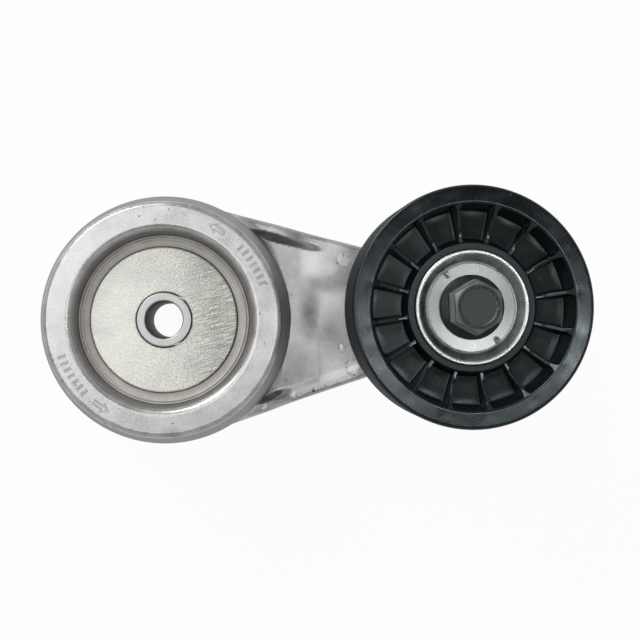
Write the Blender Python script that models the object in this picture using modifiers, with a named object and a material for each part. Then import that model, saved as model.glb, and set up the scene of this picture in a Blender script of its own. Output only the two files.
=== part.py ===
"""Spring-loaded accessory belt tensioner with a smooth idler pulley.

The pivot axis is the Z axis, the mounting face is z = 0, the pulley lies along +X and the front faces +Z.
Turning the arm towards +Y winds the spring. All lengths are in metres.
"""

import math

import bmesh
import bpy
from mathutils import Matrix

MM = 0.001
DEG = math.pi / 180

# Clearances
GAP = 0.3 * MM  # between faces that seat, press or run on each other
SKIRT_CLEARANCE = 0.6 * MM  # between the turning cup and the fixed base flange

# Main layout
ARM_LENGTH = 96.0 * MM  # pivot axis to pulley axis
BELT_PLANE = 42.0 * MM  # middle of the pulley above the mounting face
ARM_TRAVEL = 38.0 * DEG  # from the free-arm stop to the load stop

# Pivot tube, bushing and arm hub
MOUNT_BORE = 11.6 * MM
BORE_CHAMFER = 0.4 * MM
TUBE_WALL = 2.65 * MM
TUBE_PROUD = 0.8 * MM  # how far the tube stands out of the end plate
BUSHING_WALL = 1.55 * MM
ARM_HUB_WALL = 3.9 * MM

# Base casting
MOUNT_BOSS_WIDTH = 9.0 * MM  # ring of the mounting face round the tube
MOUNT_BOSS_HEIGHT = 2.0 * MM
BASE_FLOOR = 4.5 * MM
CASE_WALL = 3.0 * MM
CASE_HEADROOM = 2.0 * MM  # between the case's edge and the arm's roof
FLANGE_INSET = 0.4 * MM  # the base flange is this much smaller than the cup's skirt
FLANGE_CHAMFER = 1.0 * MM
BASE_RIB_COUNT = 6
BASE_RIB_WIDTH = 3.0 * MM
BASE_RIB_RECESS = 0.8 * MM  # rib edges below the mounting face
BASE_RIB_START = 15.0 * DEG

# Locating pin
PIN_DIAMETER = 8.0 * MM
PIN_LENGTH = 7.0 * MM  # out of the mounting face
PIN_CIRCLE = 25.0 * MM  # pivot axis to pin axis
PIN_ANGLE = 150.0 * DEG
PIN_BOSS_WALL = 3.0 * MM
PIN_CHAMFER = 1.0 * MM

# Torsion spring and its seats
SPRING_WIRE = 5.2 * MM
SPRING_MEAN_RADIUS = 24.0 * MM
SPRING_PITCH = 5.9 * MM
SPRING_TURNS = 3.5
SPRING_SIDE_CLEARANCE = 1.9 * MM  # to the case wall, for the coil to spread
SPRING_POINTS_PER_TURN = 24
SPRING_START = 60.0 * DEG  # lower end of the wire
SEAT_SPAN = 20.0 * DEG  # block that the end of the wire pushes on
SEAT_HEIGHT = 4.6 * MM

# Damper sleeve and travel stops
DAMPER_WALL = 3.5 * MM
DAMPER_HEIGHT = 12.0 * MM
DAMPER_SLIT = 8.0 * DEG
STOP_ANGLE = 180.0 * DEG  # middle of the arm's stop lug at rest
STOP_LUG_SPAN = 18.0 * DEG
STOP_POST_SPAN = 16.0 * DEG
STOP_HEIGHT = 8.0 * MM

# End plate and thrust washer
END_PLATE_DIAMETER = 45.4 * MM
END_PLATE_THICKNESS = 3.0 * MM
END_PLATE_BEVEL = 0.5 * MM
WASHER_THICKNESS = 1.8 * MM
WASHER_LIP_WIDTH = 3.2 * MM
WASHER_LIP_DROP = 0.9 * MM  # lip below the end plate's face

# Arm cup
ARM_ROOF = 4.0 * MM
CROWN_RISE = 8.1 * MM  # crown above the end plate's face
CROWN_ROUND = 1.2 * MM
CROWN_WALL = 4.5 * MM
DISH_FLARE = 3.8 * MM  # dish wall spreads by this from the washer to the crown
CUP_WALL = 1.8 * MM
CUP_SHOULDER_DROP = 3.0 * MM
SKIRT_FLARE = 2.6 * MM  # cup wall spreads by this from the shoulder to the skirt
SKIRT_RISE = 1.5 * MM  # straight skirt above the web's edge ribs
POCKET_WALL = 0.7 * MM  # crown's hollow begins this far outside the crown's inner edge

# Arm web
WEB_DEPTH = 14.0 * MM
WEB_PANEL = 5.0 * MM
WEB_EDGE_WIDTH = 4.0 * MM
WEB_EDGE_HEIGHT = 2.5 * MM
WEB_TUCK = 1.0 * MM  # the web's round end starts this far inside the skirt
ARM_END_RADIUS = 12.2 * MM
PULLEY_CLEARANCE = 2.5 * MM  # pulley to the web's edge ribs
RELIEF_CLEARANCE = 2.0 * MM  # round relief beside the pulley
RELIEF_STEP = 0.4 * MM  # floor of the relief above the web's panel
BACK_RIB_WIDTH = 4.0 * MM

# Pulley boss
BOSS_RADIUS = 13.2 * MM
BOSS_STEP = 1.5 * MM
BOSS_FOOT = 1.0 * MM  # boss stands out of the web's back
NECK_RADIUS = 10.5 * MM
SPIGOT_SHY = 1.0 * MM  # spigot ends this far below the bearing's face

# Pulley
PULLEY_DIAMETER = 76.2 * MM
PULLEY_WIDTH = 23.0 * MM
PULLEY_EDGE = 1.0 * MM
RIM_WALL = 5.9 * MM
RIM_DRAFT = 1.2 * MM
HUB_WALL = 2.35 * MM
HUB_FLARE = 1.5 * MM
HUB_RECESS = 3.5 * MM  # hub face below the rim face
PULLEY_WEB = 6.0 * MM
HUB_LIP = 1.0 * MM
HUB_LIP_REACH = 1.2 * MM
SHIELD_SEAT = 0.6 * MM  # the shield's counterbore is this much larger than the bearing's seat
RIB_COUNT = 16
RIB_PHASE = 6.6 * DEG
RIB_THICKNESS = 1.4 * MM
RIB_SADDLE_HEIGHT = 4.0 * MM  # lowest part of the rib above the pulley's web
RIB_SADDLE_PLACE = 4.2 * MM  # outside the hub
RIB_DROP = 1.2 * MM  # rib ends below the rim and hub faces
RIB_ROOT = 0.8 * MM  # rib runs this far into what it joins

# Ball bearing
BEARING_BORE = 15.0 * MM
BEARING_DIAMETER = 35.0 * MM
BEARING_WIDTH = 11.0 * MM
BALL_DIAMETER = 5.953 * MM
BALL_COUNT = 8
BALL_CIRCLE = 25.0 * MM
RACE_LAND = 1.65 * MM  # shoulders stand off the ball circle by this, inside
RACE_LAND_OUTER = 2.7 * MM
CAGE_WALL = 2.4 * MM
CAGE_BACK = 1.0 * MM
CAGE_REACH = 2.2 * MM  # cage fingers beyond the ball centres
SEAL_THICKNESS = 0.6 * MM

# Dust shields
SHIELD_PLATE = 1.3 * MM
SHIELD_ROLL_WIDTH = 2.8 * MM
SHIELD_ROLL_HEIGHT = 1.9 * MM
SHIELD_GROOVE = 0.4 * MM
REAR_SHIELD_PLATE = 1.0 * MM
REAR_SHIELD_RADIUS = 18.5 * MM
REAR_COLLAR_WALL = 2.3 * MM

# Pulley bolt
BOLT_DIAMETER = 10.0 * MM
BOLT_ACROSS_FLATS = 15.0 * MM
BOLT_HEX_HEIGHT = 8.2 * MM
BOLT_FLANGE_DIAMETER = 20.4 * MM
BOLT_FLANGE_HEIGHT = 1.8 * MM
BOLT_FLANGE_EDGE = 0.8 * MM
BOLT_RECESS_DIAMETER = 10.4 * MM
BOLT_RECESS_DEPTH = 0.7 * MM
BOLT_END_SHY = 2.0 * MM  # bolt ends this far inside the boss

# Facets
ROUND_STEPS = 48
SMALL_STEPS = 32
ARC_STEP = 7.5 * DEG
BALL_SEGMENTS = 12
BALL_RINGS = 8

# Radii worked outwards from the pivot
BORE_R = MOUNT_BORE / 2
TUBE_R = BORE_R + TUBE_WALL
BUSHING_IN = TUBE_R + GAP
BUSHING_OUT = BUSHING_IN + BUSHING_WALL
ARM_HUB_IN = BUSHING_OUT + GAP
ARM_HUB_OUT = ARM_HUB_IN + ARM_HUB_WALL
SPRING_IN = SPRING_MEAN_RADIUS - SPRING_WIRE / 2
SPRING_OUT = SPRING_MEAN_RADIUS + SPRING_WIRE / 2
CASE_IN = SPRING_OUT + SPRING_SIDE_CLEARANCE
CASE_OUT = CASE_IN + CASE_WALL
DAMPER_IN = CASE_OUT + GAP
DAMPER_OUT = DAMPER_IN + DAMPER_WALL
CAVITY_R = DAMPER_OUT + GAP
SHOULDER_R = CAVITY_R + CUP_WALL
SKIRT_R = SHOULDER_R + SKIRT_FLARE
FLANGE_R = SKIRT_R - FLANGE_INSET
MOUNT_BOSS_R = BUSHING_IN + MOUNT_BOSS_WIDTH
END_PLATE_R = END_PLATE_DIAMETER / 2
LIP_IN = END_PLATE_R + GAP
LIP_OUT = LIP_IN + WASHER_LIP_WIDTH
DISH_R = LIP_OUT + GAP
CROWN_IN = DISH_R + DISH_FLARE
POCKET_IN = CROWN_IN + POCKET_WALL

# Angle between the wire's end, which leans by half a facet, and the seat it pushes on
WIRE_END_LEAN = SPRING_WIRE / 2 * math.sin(math.pi / SPRING_POINTS_PER_TURN)
SEAT_SLACK = (GAP + WIRE_END_LEAN) / SPRING_MEAN_RADIUS

# Heights worked upwards from the mounting face
BASE_TOP = MOUNT_BOSS_HEIGHT + BASE_FLOOR
SKIRT_LOW = BASE_TOP + SKIRT_CLEARANCE
SPRING_HEIGHT = SPRING_TURNS * SPRING_PITCH + SPRING_WIRE
ROOF_LOW = BASE_TOP + SPRING_HEIGHT + 2 * GAP
ROOF_TOP = ROOF_LOW + ARM_ROOF
CASE_TOP = ROOF_LOW - CASE_HEADROOM
WASHER_LOW = ROOF_TOP + GAP
WASHER_TOP = WASHER_LOW + WASHER_THICKNESS
PLATE_LOW = WASHER_TOP + GAP
PLATE_TOP = PLATE_LOW + END_PLATE_THICKNESS
LIP_TOP = PLATE_TOP - WASHER_LIP_DROP
TUBE_TOP = PLATE_TOP + TUBE_PROUD
CROWN_TOP = PLATE_TOP + CROWN_RISE
CROWN_HOLLOW_TOP = CROWN_TOP - CROWN_WALL
STOP_TOP = CASE_TOP
STOP_LOW = STOP_TOP - STOP_HEIGHT
DAMPER_LOW = BASE_TOP + GAP

# Heights and radii of the pulley and its bearing
PULLEY_R = PULLEY_DIAMETER / 2
PULLEY_FRONT = BELT_PLANE + PULLEY_WIDTH / 2
PULLEY_REAR = BELT_PLANE - PULLEY_WIDTH / 2
RIM_IN = PULLEY_R - RIM_WALL
BEARING_R = BEARING_DIAMETER / 2
BEARING_FRONT = BELT_PLANE + BEARING_WIDTH / 2
BEARING_REAR = BELT_PLANE - BEARING_WIDTH / 2
SEAT_R = BEARING_R + GAP
HUB_R = SEAT_R + HUB_WALL
HUB_FRONT = PULLEY_FRONT - HUB_RECESS
SEAT_LOW = BEARING_REAR - GAP
HUB_REAR = SEAT_LOW - HUB_LIP
SHIELD_SEAT_R = SEAT_R + SHIELD_SEAT
SHIELD_R = SHIELD_SEAT_R - GAP
SHIELD_LOW = BEARING_FRONT + GAP
SHIELD_TOP = SHIELD_LOW + SHIELD_PLATE
WEB_FRONT = BELT_PLANE + PULLEY_WEB / 2
WEB_REAR = BELT_PLANE - PULLEY_WEB / 2
BALL_R = BALL_DIAMETER / 2
BALL_CIRCLE_R = BALL_CIRCLE / 2
INNER_LAND = BALL_CIRCLE_R - RACE_LAND
OUTER_LAND = BALL_CIRCLE_R + RACE_LAND_OUTER

# Heights of the arm's web and boss
EDGE_TOP = PULLEY_REAR - PULLEY_CLEARANCE
PANEL_TOP = EDGE_TOP - WEB_EDGE_HEIGHT
PANEL_LOW = PANEL_TOP - WEB_PANEL
WEB_LOW = EDGE_TOP - WEB_DEPTH
SPIGOT_R = BEARING_BORE / 2 - GAP
REAR_SHIELD_TOP = HUB_REAR - GAP
REAR_SHIELD_LOW = REAR_SHIELD_TOP - REAR_SHIELD_PLATE
BOSS_SHOULDER = REAR_SHIELD_LOW - GAP
BOSS_LOW = WEB_LOW - BOSS_FOOT
BOLT_R = BOLT_DIAMETER / 2
BOLT_HOLE_R = BOLT_R + GAP
BOLT_SEAT = SHIELD_TOP + GAP
PASS = 1.0 * MM  # how far a cutter or a joined piece runs past the face it crosses


def clear_scene():
    """Removes every object that is already in the scene."""
    for obj in list(bpy.data.objects):
        bpy.data.objects.remove(obj, do_unlink=True)


def add_collection(name):
    """Adds a collection to the scene."""
    made = bpy.data.collections.new(name)
    bpy.context.scene.collection.children.link(made)
    return made


def add_material(name, colour, roughness, metallic):
    """A Principled material of one colour."""
    made = bpy.data.materials.new(name)
    made.use_nodes = True
    shader = made.node_tree.nodes["Principled BSDF"]
    shader.inputs["Base Color"].default_value = (*colour, 1.0)
    shader.inputs["Roughness"].default_value = roughness
    shader.inputs["Metallic"].default_value = metallic
    return made


clear_scene()
PARTS = add_collection("belt_tensioner")
CUTTERS = add_collection("cutters")

CAST_ALUMINIUM = add_material("cast_aluminium", (0.56, 0.56, 0.57), 0.42, 1.0)
ZINC_STEEL = add_material("zinc_plated_steel", (0.66, 0.65, 0.58), 0.38, 1.0)
TUBE_STEEL = add_material("bright_steel", (0.62, 0.61, 0.63), 0.35, 1.0)
BEARING_STEEL = add_material("bearing_steel", (0.55, 0.56, 0.58), 0.2, 1.0)
SPRING_STEEL = add_material("spring_steel", (0.12, 0.12, 0.13), 0.45, 1.0)
BLACK_OXIDE = add_material("black_oxide_steel", (0.03, 0.03, 0.03), 0.45, 1.0)
BLACK_NYLON = add_material("black_glass_filled_nylon", (0.02, 0.021, 0.023), 0.42, 0.0)
WASHER_NYLON = add_material("grey_brown_nylon", (0.3, 0.27, 0.25), 0.5, 0.0)
DAMPER_NYLON = add_material("natural_nylon", (0.6, 0.56, 0.46), 0.5, 0.0)
BUSHING_BRONZE = add_material("sintered_bronze", (0.45, 0.32, 0.18), 0.4, 1.0)
SEAL_RUBBER = add_material("nitrile_rubber", (0.02, 0.02, 0.02), 0.6, 0.0)
CAGE_NYLON = add_material("cage_nylon", (0.35, 0.2, 0.1), 0.5, 0.0)


def add_object(name, mesh, material, place=(0.0, 0.0)):
    """A part, or with no material a helper that only cuts or joins, standing at an X and Y place."""
    obj = bpy.data.objects.new(name, mesh)
    obj.location = (*place, 0.0)
    if material is None:
        CUTTERS.objects.link(obj)
        obj.hide_render = True
        obj.display_type = "WIRE"
    else:
        PARTS.objects.link(obj)
        mesh.materials.append(material)
    return obj


def clockwise(points):
    """The loop of (radius, height) points turned so that its outer side runs down."""
    following = points[1:] + points[:1]
    area = sum(a[0] * b[1] - b[0] * a[1] for a, b in zip(points, following))
    return points if area < 0 else points[::-1]


def turned(name, points, material=None, place=(0.0, 0.0), steps=ROUND_STEPS):
    """Turns a closed loop of (radius, height) points round a Z axis; a loop with points on the axis is left
    open there."""
    points = clockwise(points)
    on_axis = [i for i, (radius, _) in enumerate(points) if radius == 0.0]
    if on_axis:
        top = max(on_axis, key=lambda i: points[i][1])
        points = points[top:] + points[:top]
    edges = [(i, i + 1) for i in range(len(points) - 1)]
    if not on_axis:
        edges.append((len(points) - 1, 0))
    mesh = bpy.data.meshes.new(name)
    mesh.from_pydata([(radius, 0.0, height) for radius, height in points], edges, [])
    obj = add_object(name, mesh, material, place)
    screw = obj.modifiers.new("turn", "SCREW")
    screw.steps = steps
    screw.render_steps = steps
    screw.use_merge_vertices = True
    screw.merge_threshold = 1e-6
    screw.use_smooth_shade = True
    return obj


def mesh_of(obj):
    """The evaluated shape of a curve or modified object as a mesh of its own, welded; the object is removed."""
    bpy.context.view_layer.update()
    graph = bpy.context.evaluated_depsgraph_get()
    mesh = bpy.data.meshes.new_from_object(obj.evaluated_get(graph))
    bpy.data.objects.remove(obj, do_unlink=True)
    shape = bmesh.new()
    shape.from_mesh(mesh)
    bmesh.ops.remove_doubles(shape, verts=shape.verts, dist=1e-6)
    shape.to_mesh(mesh)
    shape.free()
    return mesh


def outline_mesh(name, outline, thickness):
    """A flat plate with an outline of (x, y) points, half its thickness on each side of z = 0."""
    curve = bpy.data.curves.new(name, "CURVE")
    curve.dimensions = "2D"
    curve.fill_mode = "BOTH"
    curve.extrude = thickness / 2
    spline = curve.splines.new("POLY")
    spline.points.add(len(outline) - 1)
    for point, (x, y) in zip(spline.points, outline):
        point.co = (x, y, 0.0, 1.0)
    spline.use_cyclic_u = True
    guide = bpy.data.objects.new(name, curve)
    CUTTERS.objects.link(guide)
    return mesh_of(guide)


def plate(name, outline, low, high, material=None, place=(0.0, 0.0)):
    """A plate with an outline of (x, y) points between two heights."""
    mesh = outline_mesh(name, outline, high - low)
    mesh.transform(Matrix.Translation((0.0, 0.0, (low + high) / 2)))
    return add_object(name, mesh, material, place)


def arc(radius, start, end, centre=(0.0, 0.0)):
    """Points on an arc, both ends included."""
    count = max(2, math.ceil(abs(end - start) / ARC_STEP) + 1)
    angles = [start + (end - start) * i / (count - 1) for i in range(count)]
    return [(centre[0] + radius * math.cos(a), centre[1] + radius * math.sin(a)) for a in angles]


def sector(name, inner, outer, start, end, low, high, material=None):
    """A block that is part of a ring between two angles."""
    outline = arc(outer, start, end) + arc(inner, end, start)
    return plate(name, outline, low, high, material)


def tapered_outline(wide, narrow):
    """Outline of the arm: a wide round end on the pivot and a narrow one on the pulley axis, joined by
    tangents."""
    lean = math.acos((wide - narrow) / ARM_LENGTH)
    return arc(wide, lean, 2 * math.pi - lean) + arc(narrow, -lean, lean, (ARM_LENGTH, 0.0))


def copies_round(name, mesh, count, start, place=(0.0, 0.0)):
    """A helper that holds copies of a mesh set evenly round a Z axis."""
    shape = bmesh.new()
    for i in range(count):
        copy = mesh.copy()
        copy.transform(Matrix.Rotation(start + i * 2 * math.pi / count, 4, "Z"))
        shape.from_mesh(copy)
        bpy.data.meshes.remove(copy)
    joined = bpy.data.meshes.new(name)
    shape.to_mesh(joined)
    shape.free()
    return add_object(name, joined, None, place)


def combine(obj, other, operation):
    """Adds an exact Boolean with a helper to a part; it also resolves faces of earlier Booleans that nearly
    coincide."""
    step = obj.modifiers.new(other.name, "BOOLEAN")
    step.solver = "EXACT"
    step.use_self = True
    step.operation = operation
    step.object = other


def cut(obj, other):
    """Takes a helper's shape out of a part."""
    combine(obj, other, "DIFFERENCE")


def join(obj, other):
    """Adds a helper's shape to a part."""
    combine(obj, other, "UNION")


def flat_mesh(outline, thickness):
    """A plate standing on edge: its outline is in (x, z) and its thickness lies along Y."""
    mesh = outline_mesh("edgewise", outline, thickness)
    mesh.transform(Matrix.Rotation(math.pi / 2, 4, "X"))
    return mesh


def rod(name, radius, low, high, place=(0.0, 0.0), steps=SMALL_STEPS):
    """A plain round helper."""
    return turned(name, [(0.0, high), (radius, high), (radius, low), (0.0, low)], None, place, steps)


def add_base_casting():
    """Fixed base: mounting boss, floor, spring case, spring seat and the two travel stops."""
    base = turned(
        "base_casting",
        [
            (CASE_IN, CASE_TOP),
            (CASE_OUT, CASE_TOP),
            (CASE_OUT, BASE_TOP),
            (FLANGE_R, BASE_TOP),
            (FLANGE_R, MOUNT_BOSS_HEIGHT + FLANGE_CHAMFER),
            (FLANGE_R - FLANGE_CHAMFER, MOUNT_BOSS_HEIGHT),
            (MOUNT_BOSS_R, MOUNT_BOSS_HEIGHT),
            (MOUNT_BOSS_R, 0.0),
            (BUSHING_IN, 0.0),
            (BUSHING_IN, BASE_TOP),
            (CASE_IN, BASE_TOP),
        ],
        CAST_ALUMINIUM,
    )
    seat_start = SPRING_START + SEAT_SLACK
    join(
        base,
        sector("base_spring_seat", SPRING_IN, CASE_IN + CASE_WALL / 2, seat_start, seat_start + SEAT_SPAN,
               BASE_TOP - PASS, BASE_TOP + SEAT_HEIGHT),
    )
    contact = GAP / CASE_OUT
    free_side = STOP_ANGLE - STOP_LUG_SPAN / 2 - contact
    load_side = STOP_ANGLE + STOP_LUG_SPAN / 2 + ARM_TRAVEL + contact
    for name, start in (("free_stop", free_side - STOP_POST_SPAN), ("load_stop", load_side)):
        post = sector(name, CASE_OUT - CASE_WALL / 2, DAMPER_OUT, start, start + STOP_POST_SPAN,
                      STOP_LOW, STOP_TOP - PASS)
        join(base, post)
    rib = flat_mesh(
        [
            (MOUNT_BOSS_R - PASS, BASE_RIB_RECESS),
            (FLANGE_R - 2 * FLANGE_CHAMFER, BASE_RIB_RECESS),
            (FLANGE_R - 2 * FLANGE_CHAMFER, MOUNT_BOSS_HEIGHT + PASS),
            (MOUNT_BOSS_R - PASS, MOUNT_BOSS_HEIGHT + PASS),
        ],
        BASE_RIB_WIDTH,
    )
    join(base, copies_round("base_ribs", rib, BASE_RIB_COUNT, BASE_RIB_START))
    pin_place = (PIN_CIRCLE * math.cos(PIN_ANGLE), PIN_CIRCLE * math.sin(PIN_ANGLE))
    pin_r = PIN_DIAMETER / 2
    join(base, rod("pin_boss", pin_r + PIN_BOSS_WALL, 0.0, MOUNT_BOSS_HEIGHT + PASS, pin_place))
    cut(base, rod("pin_hole", pin_r + GAP, -PASS, BASE_TOP + PASS, pin_place))
    turned(
        "locating_pin",
        [
            (0.0, BASE_TOP - GAP),
            (pin_r, BASE_TOP - GAP),
            (pin_r, PIN_CHAMFER - PIN_LENGTH),
            (pin_r - PIN_CHAMFER, -PIN_LENGTH),
            (0.0, -PIN_LENGTH),
        ],
        TUBE_STEEL,
        pin_place,
        SMALL_STEPS,
    )


def add_pivot():
    """Pivot tube, its bushing, the end plate and the thrust washer under it."""
    turned(
        "pivot_tube",
        [
            (BORE_R + BORE_CHAMFER, TUBE_TOP),
            (TUBE_R - BORE_CHAMFER, TUBE_TOP),
            (TUBE_R, TUBE_TOP - BORE_CHAMFER),
            (TUBE_R, 0.0),
            (BORE_R, 0.0),
            (BORE_R, TUBE_TOP - BORE_CHAMFER),
        ],
        TUBE_STEEL,
    )
    turned(
        "pivot_bushing",
        [
            (BUSHING_IN, ROOF_TOP),
            (BUSHING_OUT, ROOF_TOP),
            (BUSHING_OUT, SKIRT_LOW),
            (BUSHING_IN, SKIRT_LOW),
        ],
        BUSHING_BRONZE,
        steps=SMALL_STEPS,
    )
    turned(
        "end_plate",
        [
            (BUSHING_IN, PLATE_TOP),
            (END_PLATE_R - END_PLATE_BEVEL, PLATE_TOP),
            (END_PLATE_R, PLATE_TOP - END_PLATE_BEVEL),
            (END_PLATE_R, PLATE_LOW),
            (BUSHING_IN, PLATE_LOW),
        ],
        ZINC_STEEL,
    )
    turned(
        "thrust_washer",
        [
            (BUSHING_IN, WASHER_TOP),
            (LIP_IN, WASHER_TOP),
            (LIP_IN, LIP_TOP),
            (LIP_OUT, LIP_TOP),
            (LIP_OUT, WASHER_LOW),
            (BUSHING_IN, WASHER_LOW),
        ],
        WASHER_NYLON,
    )


def spring_points():
    """Points along the wire of the spring, which climbs clockwise."""
    count = round(SPRING_TURNS * SPRING_POINTS_PER_TURN)
    points = []
    for i in range(count + 1):
        turn = i / SPRING_POINTS_PER_TURN
        angle = SPRING_START - 2 * math.pi * turn
        height = BASE_TOP + GAP + SPRING_WIRE / 2 + SPRING_PITCH * turn
        points.append((SPRING_MEAN_RADIUS * math.cos(angle), SPRING_MEAN_RADIUS * math.sin(angle), height))
    return points


def add_spring_and_damper():
    """Coil spring between the base and the arm, and the split friction sleeve round its case."""
    points = spring_points()
    curve = bpy.data.curves.new("torsion_spring", "CURVE")
    curve.dimensions = "3D"
    curve.bevel_depth = SPRING_WIRE / 2
    curve.bevel_resolution = 1
    curve.use_fill_caps = True
    spline = curve.splines.new("POLY")
    spline.points.add(len(points) - 1)
    for point, place in zip(spline.points, points):
        point.co = (*place, 1.0)
    guide = bpy.data.objects.new("torsion_spring_wire", curve)
    CUTTERS.objects.link(guide)
    add_object("torsion_spring", mesh_of(guide), SPRING_STEEL)
    half_turn = SPRING_POINTS_PER_TURN // 2
    nearest = min(math.dist(a, b) for i, a in enumerate(points) for b in points[i + half_turn:])
    print(f"torsion_spring: least gap between turns {(nearest - SPRING_WIRE) / MM:.2f} mm")
    sector("damper_sleeve", DAMPER_IN, DAMPER_OUT, DAMPER_SLIT / 2, 2 * math.pi - DAMPER_SLIT / 2,
           DAMPER_LOW, DAMPER_LOW + DAMPER_HEIGHT, DAMPER_NYLON)


def cup_profile():
    """Loop of the arm's cup: crown, skirt, hollow, hub and the dish for the end plate."""
    return [
        (CROWN_IN + CROWN_ROUND, CROWN_TOP),
        (SHOULDER_R - CUP_SHOULDER_DROP, CROWN_TOP),
        (SHOULDER_R - CROWN_ROUND, CROWN_TOP - CROWN_ROUND),
        (SHOULDER_R, CROWN_TOP - CUP_SHOULDER_DROP),
        (SKIRT_R, EDGE_TOP + SKIRT_RISE),
        (SKIRT_R, SKIRT_LOW),
        (CAVITY_R, SKIRT_LOW),
        (CAVITY_R, CROWN_HOLLOW_TOP),
        (POCKET_IN, CROWN_HOLLOW_TOP),
        (POCKET_IN, ROOF_LOW),
        (ARM_HUB_OUT, ROOF_LOW),
        (ARM_HUB_OUT, SKIRT_LOW),
        (ARM_HUB_IN, SKIRT_LOW),
        (ARM_HUB_IN, ROOF_TOP),
        (DISH_R, ROOF_TOP),
        (DISH_R, LIP_TOP - GAP),
        (CROWN_IN, CROWN_TOP - CROWN_ROUND),
    ]


def add_arm():
    """Die-cast arm: cup, tapered web with raised edges, pulley boss, spring seat and stop lug."""
    arm = turned("tensioner_arm", cup_profile(), CAST_ALUMINIUM)
    pulley_place = (ARM_LENGTH, 0.0)
    wide = SKIRT_R - WEB_TUCK
    inner = tapered_outline(wide - WEB_EDGE_WIDTH, ARM_END_RADIUS - WEB_EDGE_WIDTH)
    web = plate("web", tapered_outline(wide, ARM_END_RADIUS), WEB_LOW, EDGE_TOP)
    cut(web, plate("web_panel", inner, PANEL_TOP, EDGE_TOP + PASS))
    cut(web, rod("pulley_relief", PULLEY_R + RELIEF_CLEARANCE, PANEL_TOP + RELIEF_STEP, EDGE_TOP + PASS,
                 pulley_place, ROUND_STEPS))
    cut(web, plate("web_back", inner, WEB_LOW - PASS, PANEL_LOW))
    cut(web, rod("cup_core", (CAVITY_R + SKIRT_R) / 2, WEB_LOW - PASS, EDGE_TOP + PASS, steps=ROUND_STEPS))
    join(arm, web)
    boss = turned(
        "pulley_boss",
        [
            (0.0, BEARING_FRONT - SPIGOT_SHY),
            (SPIGOT_R, BEARING_FRONT - SPIGOT_SHY),
            (SPIGOT_R, BOSS_SHOULDER),
            (NECK_RADIUS, BOSS_SHOULDER),
            (NECK_RADIUS, PANEL_TOP + BOSS_STEP),
            (BOSS_RADIUS, PANEL_TOP + BOSS_STEP),
            (BOSS_RADIUS, BOSS_LOW),
            (0.0, BOSS_LOW),
        ],
        None,
        pulley_place,
    )
    join(arm, boss)
    half_rib = BACK_RIB_WIDTH / 2
    rib_start = (CAVITY_R + SKIRT_R) / 2
    rib_end = ARM_LENGTH - BOSS_RADIUS / 2
    rib = [(rib_start, -half_rib), (rib_end, -half_rib), (rib_end, half_rib), (rib_start, half_rib)]
    join(arm, plate("back_rib", rib, WEB_LOW + BOSS_FOOT, PANEL_LOW + PASS))
    seat_end = SPRING_START - 2 * math.pi * SPRING_TURNS - SEAT_SLACK
    join(
        arm,
        sector("arm_spring_seat", SPRING_IN, SPRING_OUT, seat_end - SEAT_SPAN, seat_end,
               ROOF_LOW - SEAT_HEIGHT, ROOF_LOW + PASS),
    )
    join(
        arm,
        sector("stop_lug", DAMPER_IN, (CAVITY_R + SHOULDER_R) / 2, STOP_ANGLE - STOP_LUG_SPAN / 2,
               STOP_ANGLE + STOP_LUG_SPAN / 2, STOP_LOW, STOP_TOP),
    )
    cut(arm, rod("bolt_hole", BOLT_HOLE_R, BOSS_LOW - PASS, BEARING_FRONT + PASS, pulley_place))


def add_pulley():
    """Moulded pulley: rim, web and hub with ribs on both faces."""
    web_in = HUB_R + HUB_FLARE
    web_out = RIM_IN - RIM_DRAFT
    place = (ARM_LENGTH, 0.0)
    pulley = turned(
        "pulley",
        [
            (SHIELD_SEAT_R, HUB_FRONT),
            (HUB_R, HUB_FRONT),
            (web_in, WEB_FRONT),
            (web_out, WEB_FRONT),
            (RIM_IN, PULLEY_FRONT),
            (PULLEY_R - PULLEY_EDGE, PULLEY_FRONT),
            (PULLEY_R, PULLEY_FRONT - PULLEY_EDGE),
            (PULLEY_R, PULLEY_REAR + PULLEY_EDGE),
            (PULLEY_R - PULLEY_EDGE, PULLEY_REAR),
            (RIM_IN, PULLEY_REAR),
            (web_out, WEB_REAR),
            (web_in, WEB_REAR),
            (HUB_R, HUB_REAR),
            (SEAT_R - HUB_LIP_REACH, HUB_REAR),
            (SEAT_R - HUB_LIP_REACH, SEAT_LOW),
            (SEAT_R, SEAT_LOW),
            (SEAT_R, SHIELD_LOW),
            (SHIELD_SEAT_R, SHIELD_LOW),
        ],
        BLACK_NYLON,
        place,
    )
    saddle = HUB_R + RIB_SADDLE_PLACE
    rib_in = HUB_R - RIB_ROOT
    rib_out = RIM_IN + RIB_ROOT
    front_rib = [
        (rib_in, WEB_FRONT - PASS),
        (rib_out, WEB_FRONT - PASS),
        (rib_out, PULLEY_FRONT - RIB_DROP),
        (saddle, WEB_FRONT + RIB_SADDLE_HEIGHT),
        (rib_in, HUB_FRONT - RIB_DROP),
    ]
    rear_rib = [
        (rib_in, WEB_REAR + PASS),
        (rib_in, HUB_REAR + RIB_DROP),
        (rib_out, PULLEY_REAR + RIB_DROP),
        (rib_out, WEB_REAR + PASS),
    ]
    for name, outline in (("front_ribs", front_rib), ("rear_ribs", rear_rib)):
        join(pulley, copies_round(name, flat_mesh(outline, RIB_THICKNESS), RIB_COUNT, RIB_PHASE, place))


def raceway(land, side):
    """Points of a ball groove from its top to its bottom, inside (-1) or outside (1) the ball circle."""
    groove = BALL_R + GAP
    half = math.acos(abs(land - BALL_CIRCLE_R) / groove)
    angles = [half - half * i / 2 for i in range(5)]
    return [(BALL_CIRCLE_R + side * groove * math.cos(a), BELT_PLANE + groove * math.sin(a)) for a in angles]


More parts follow.
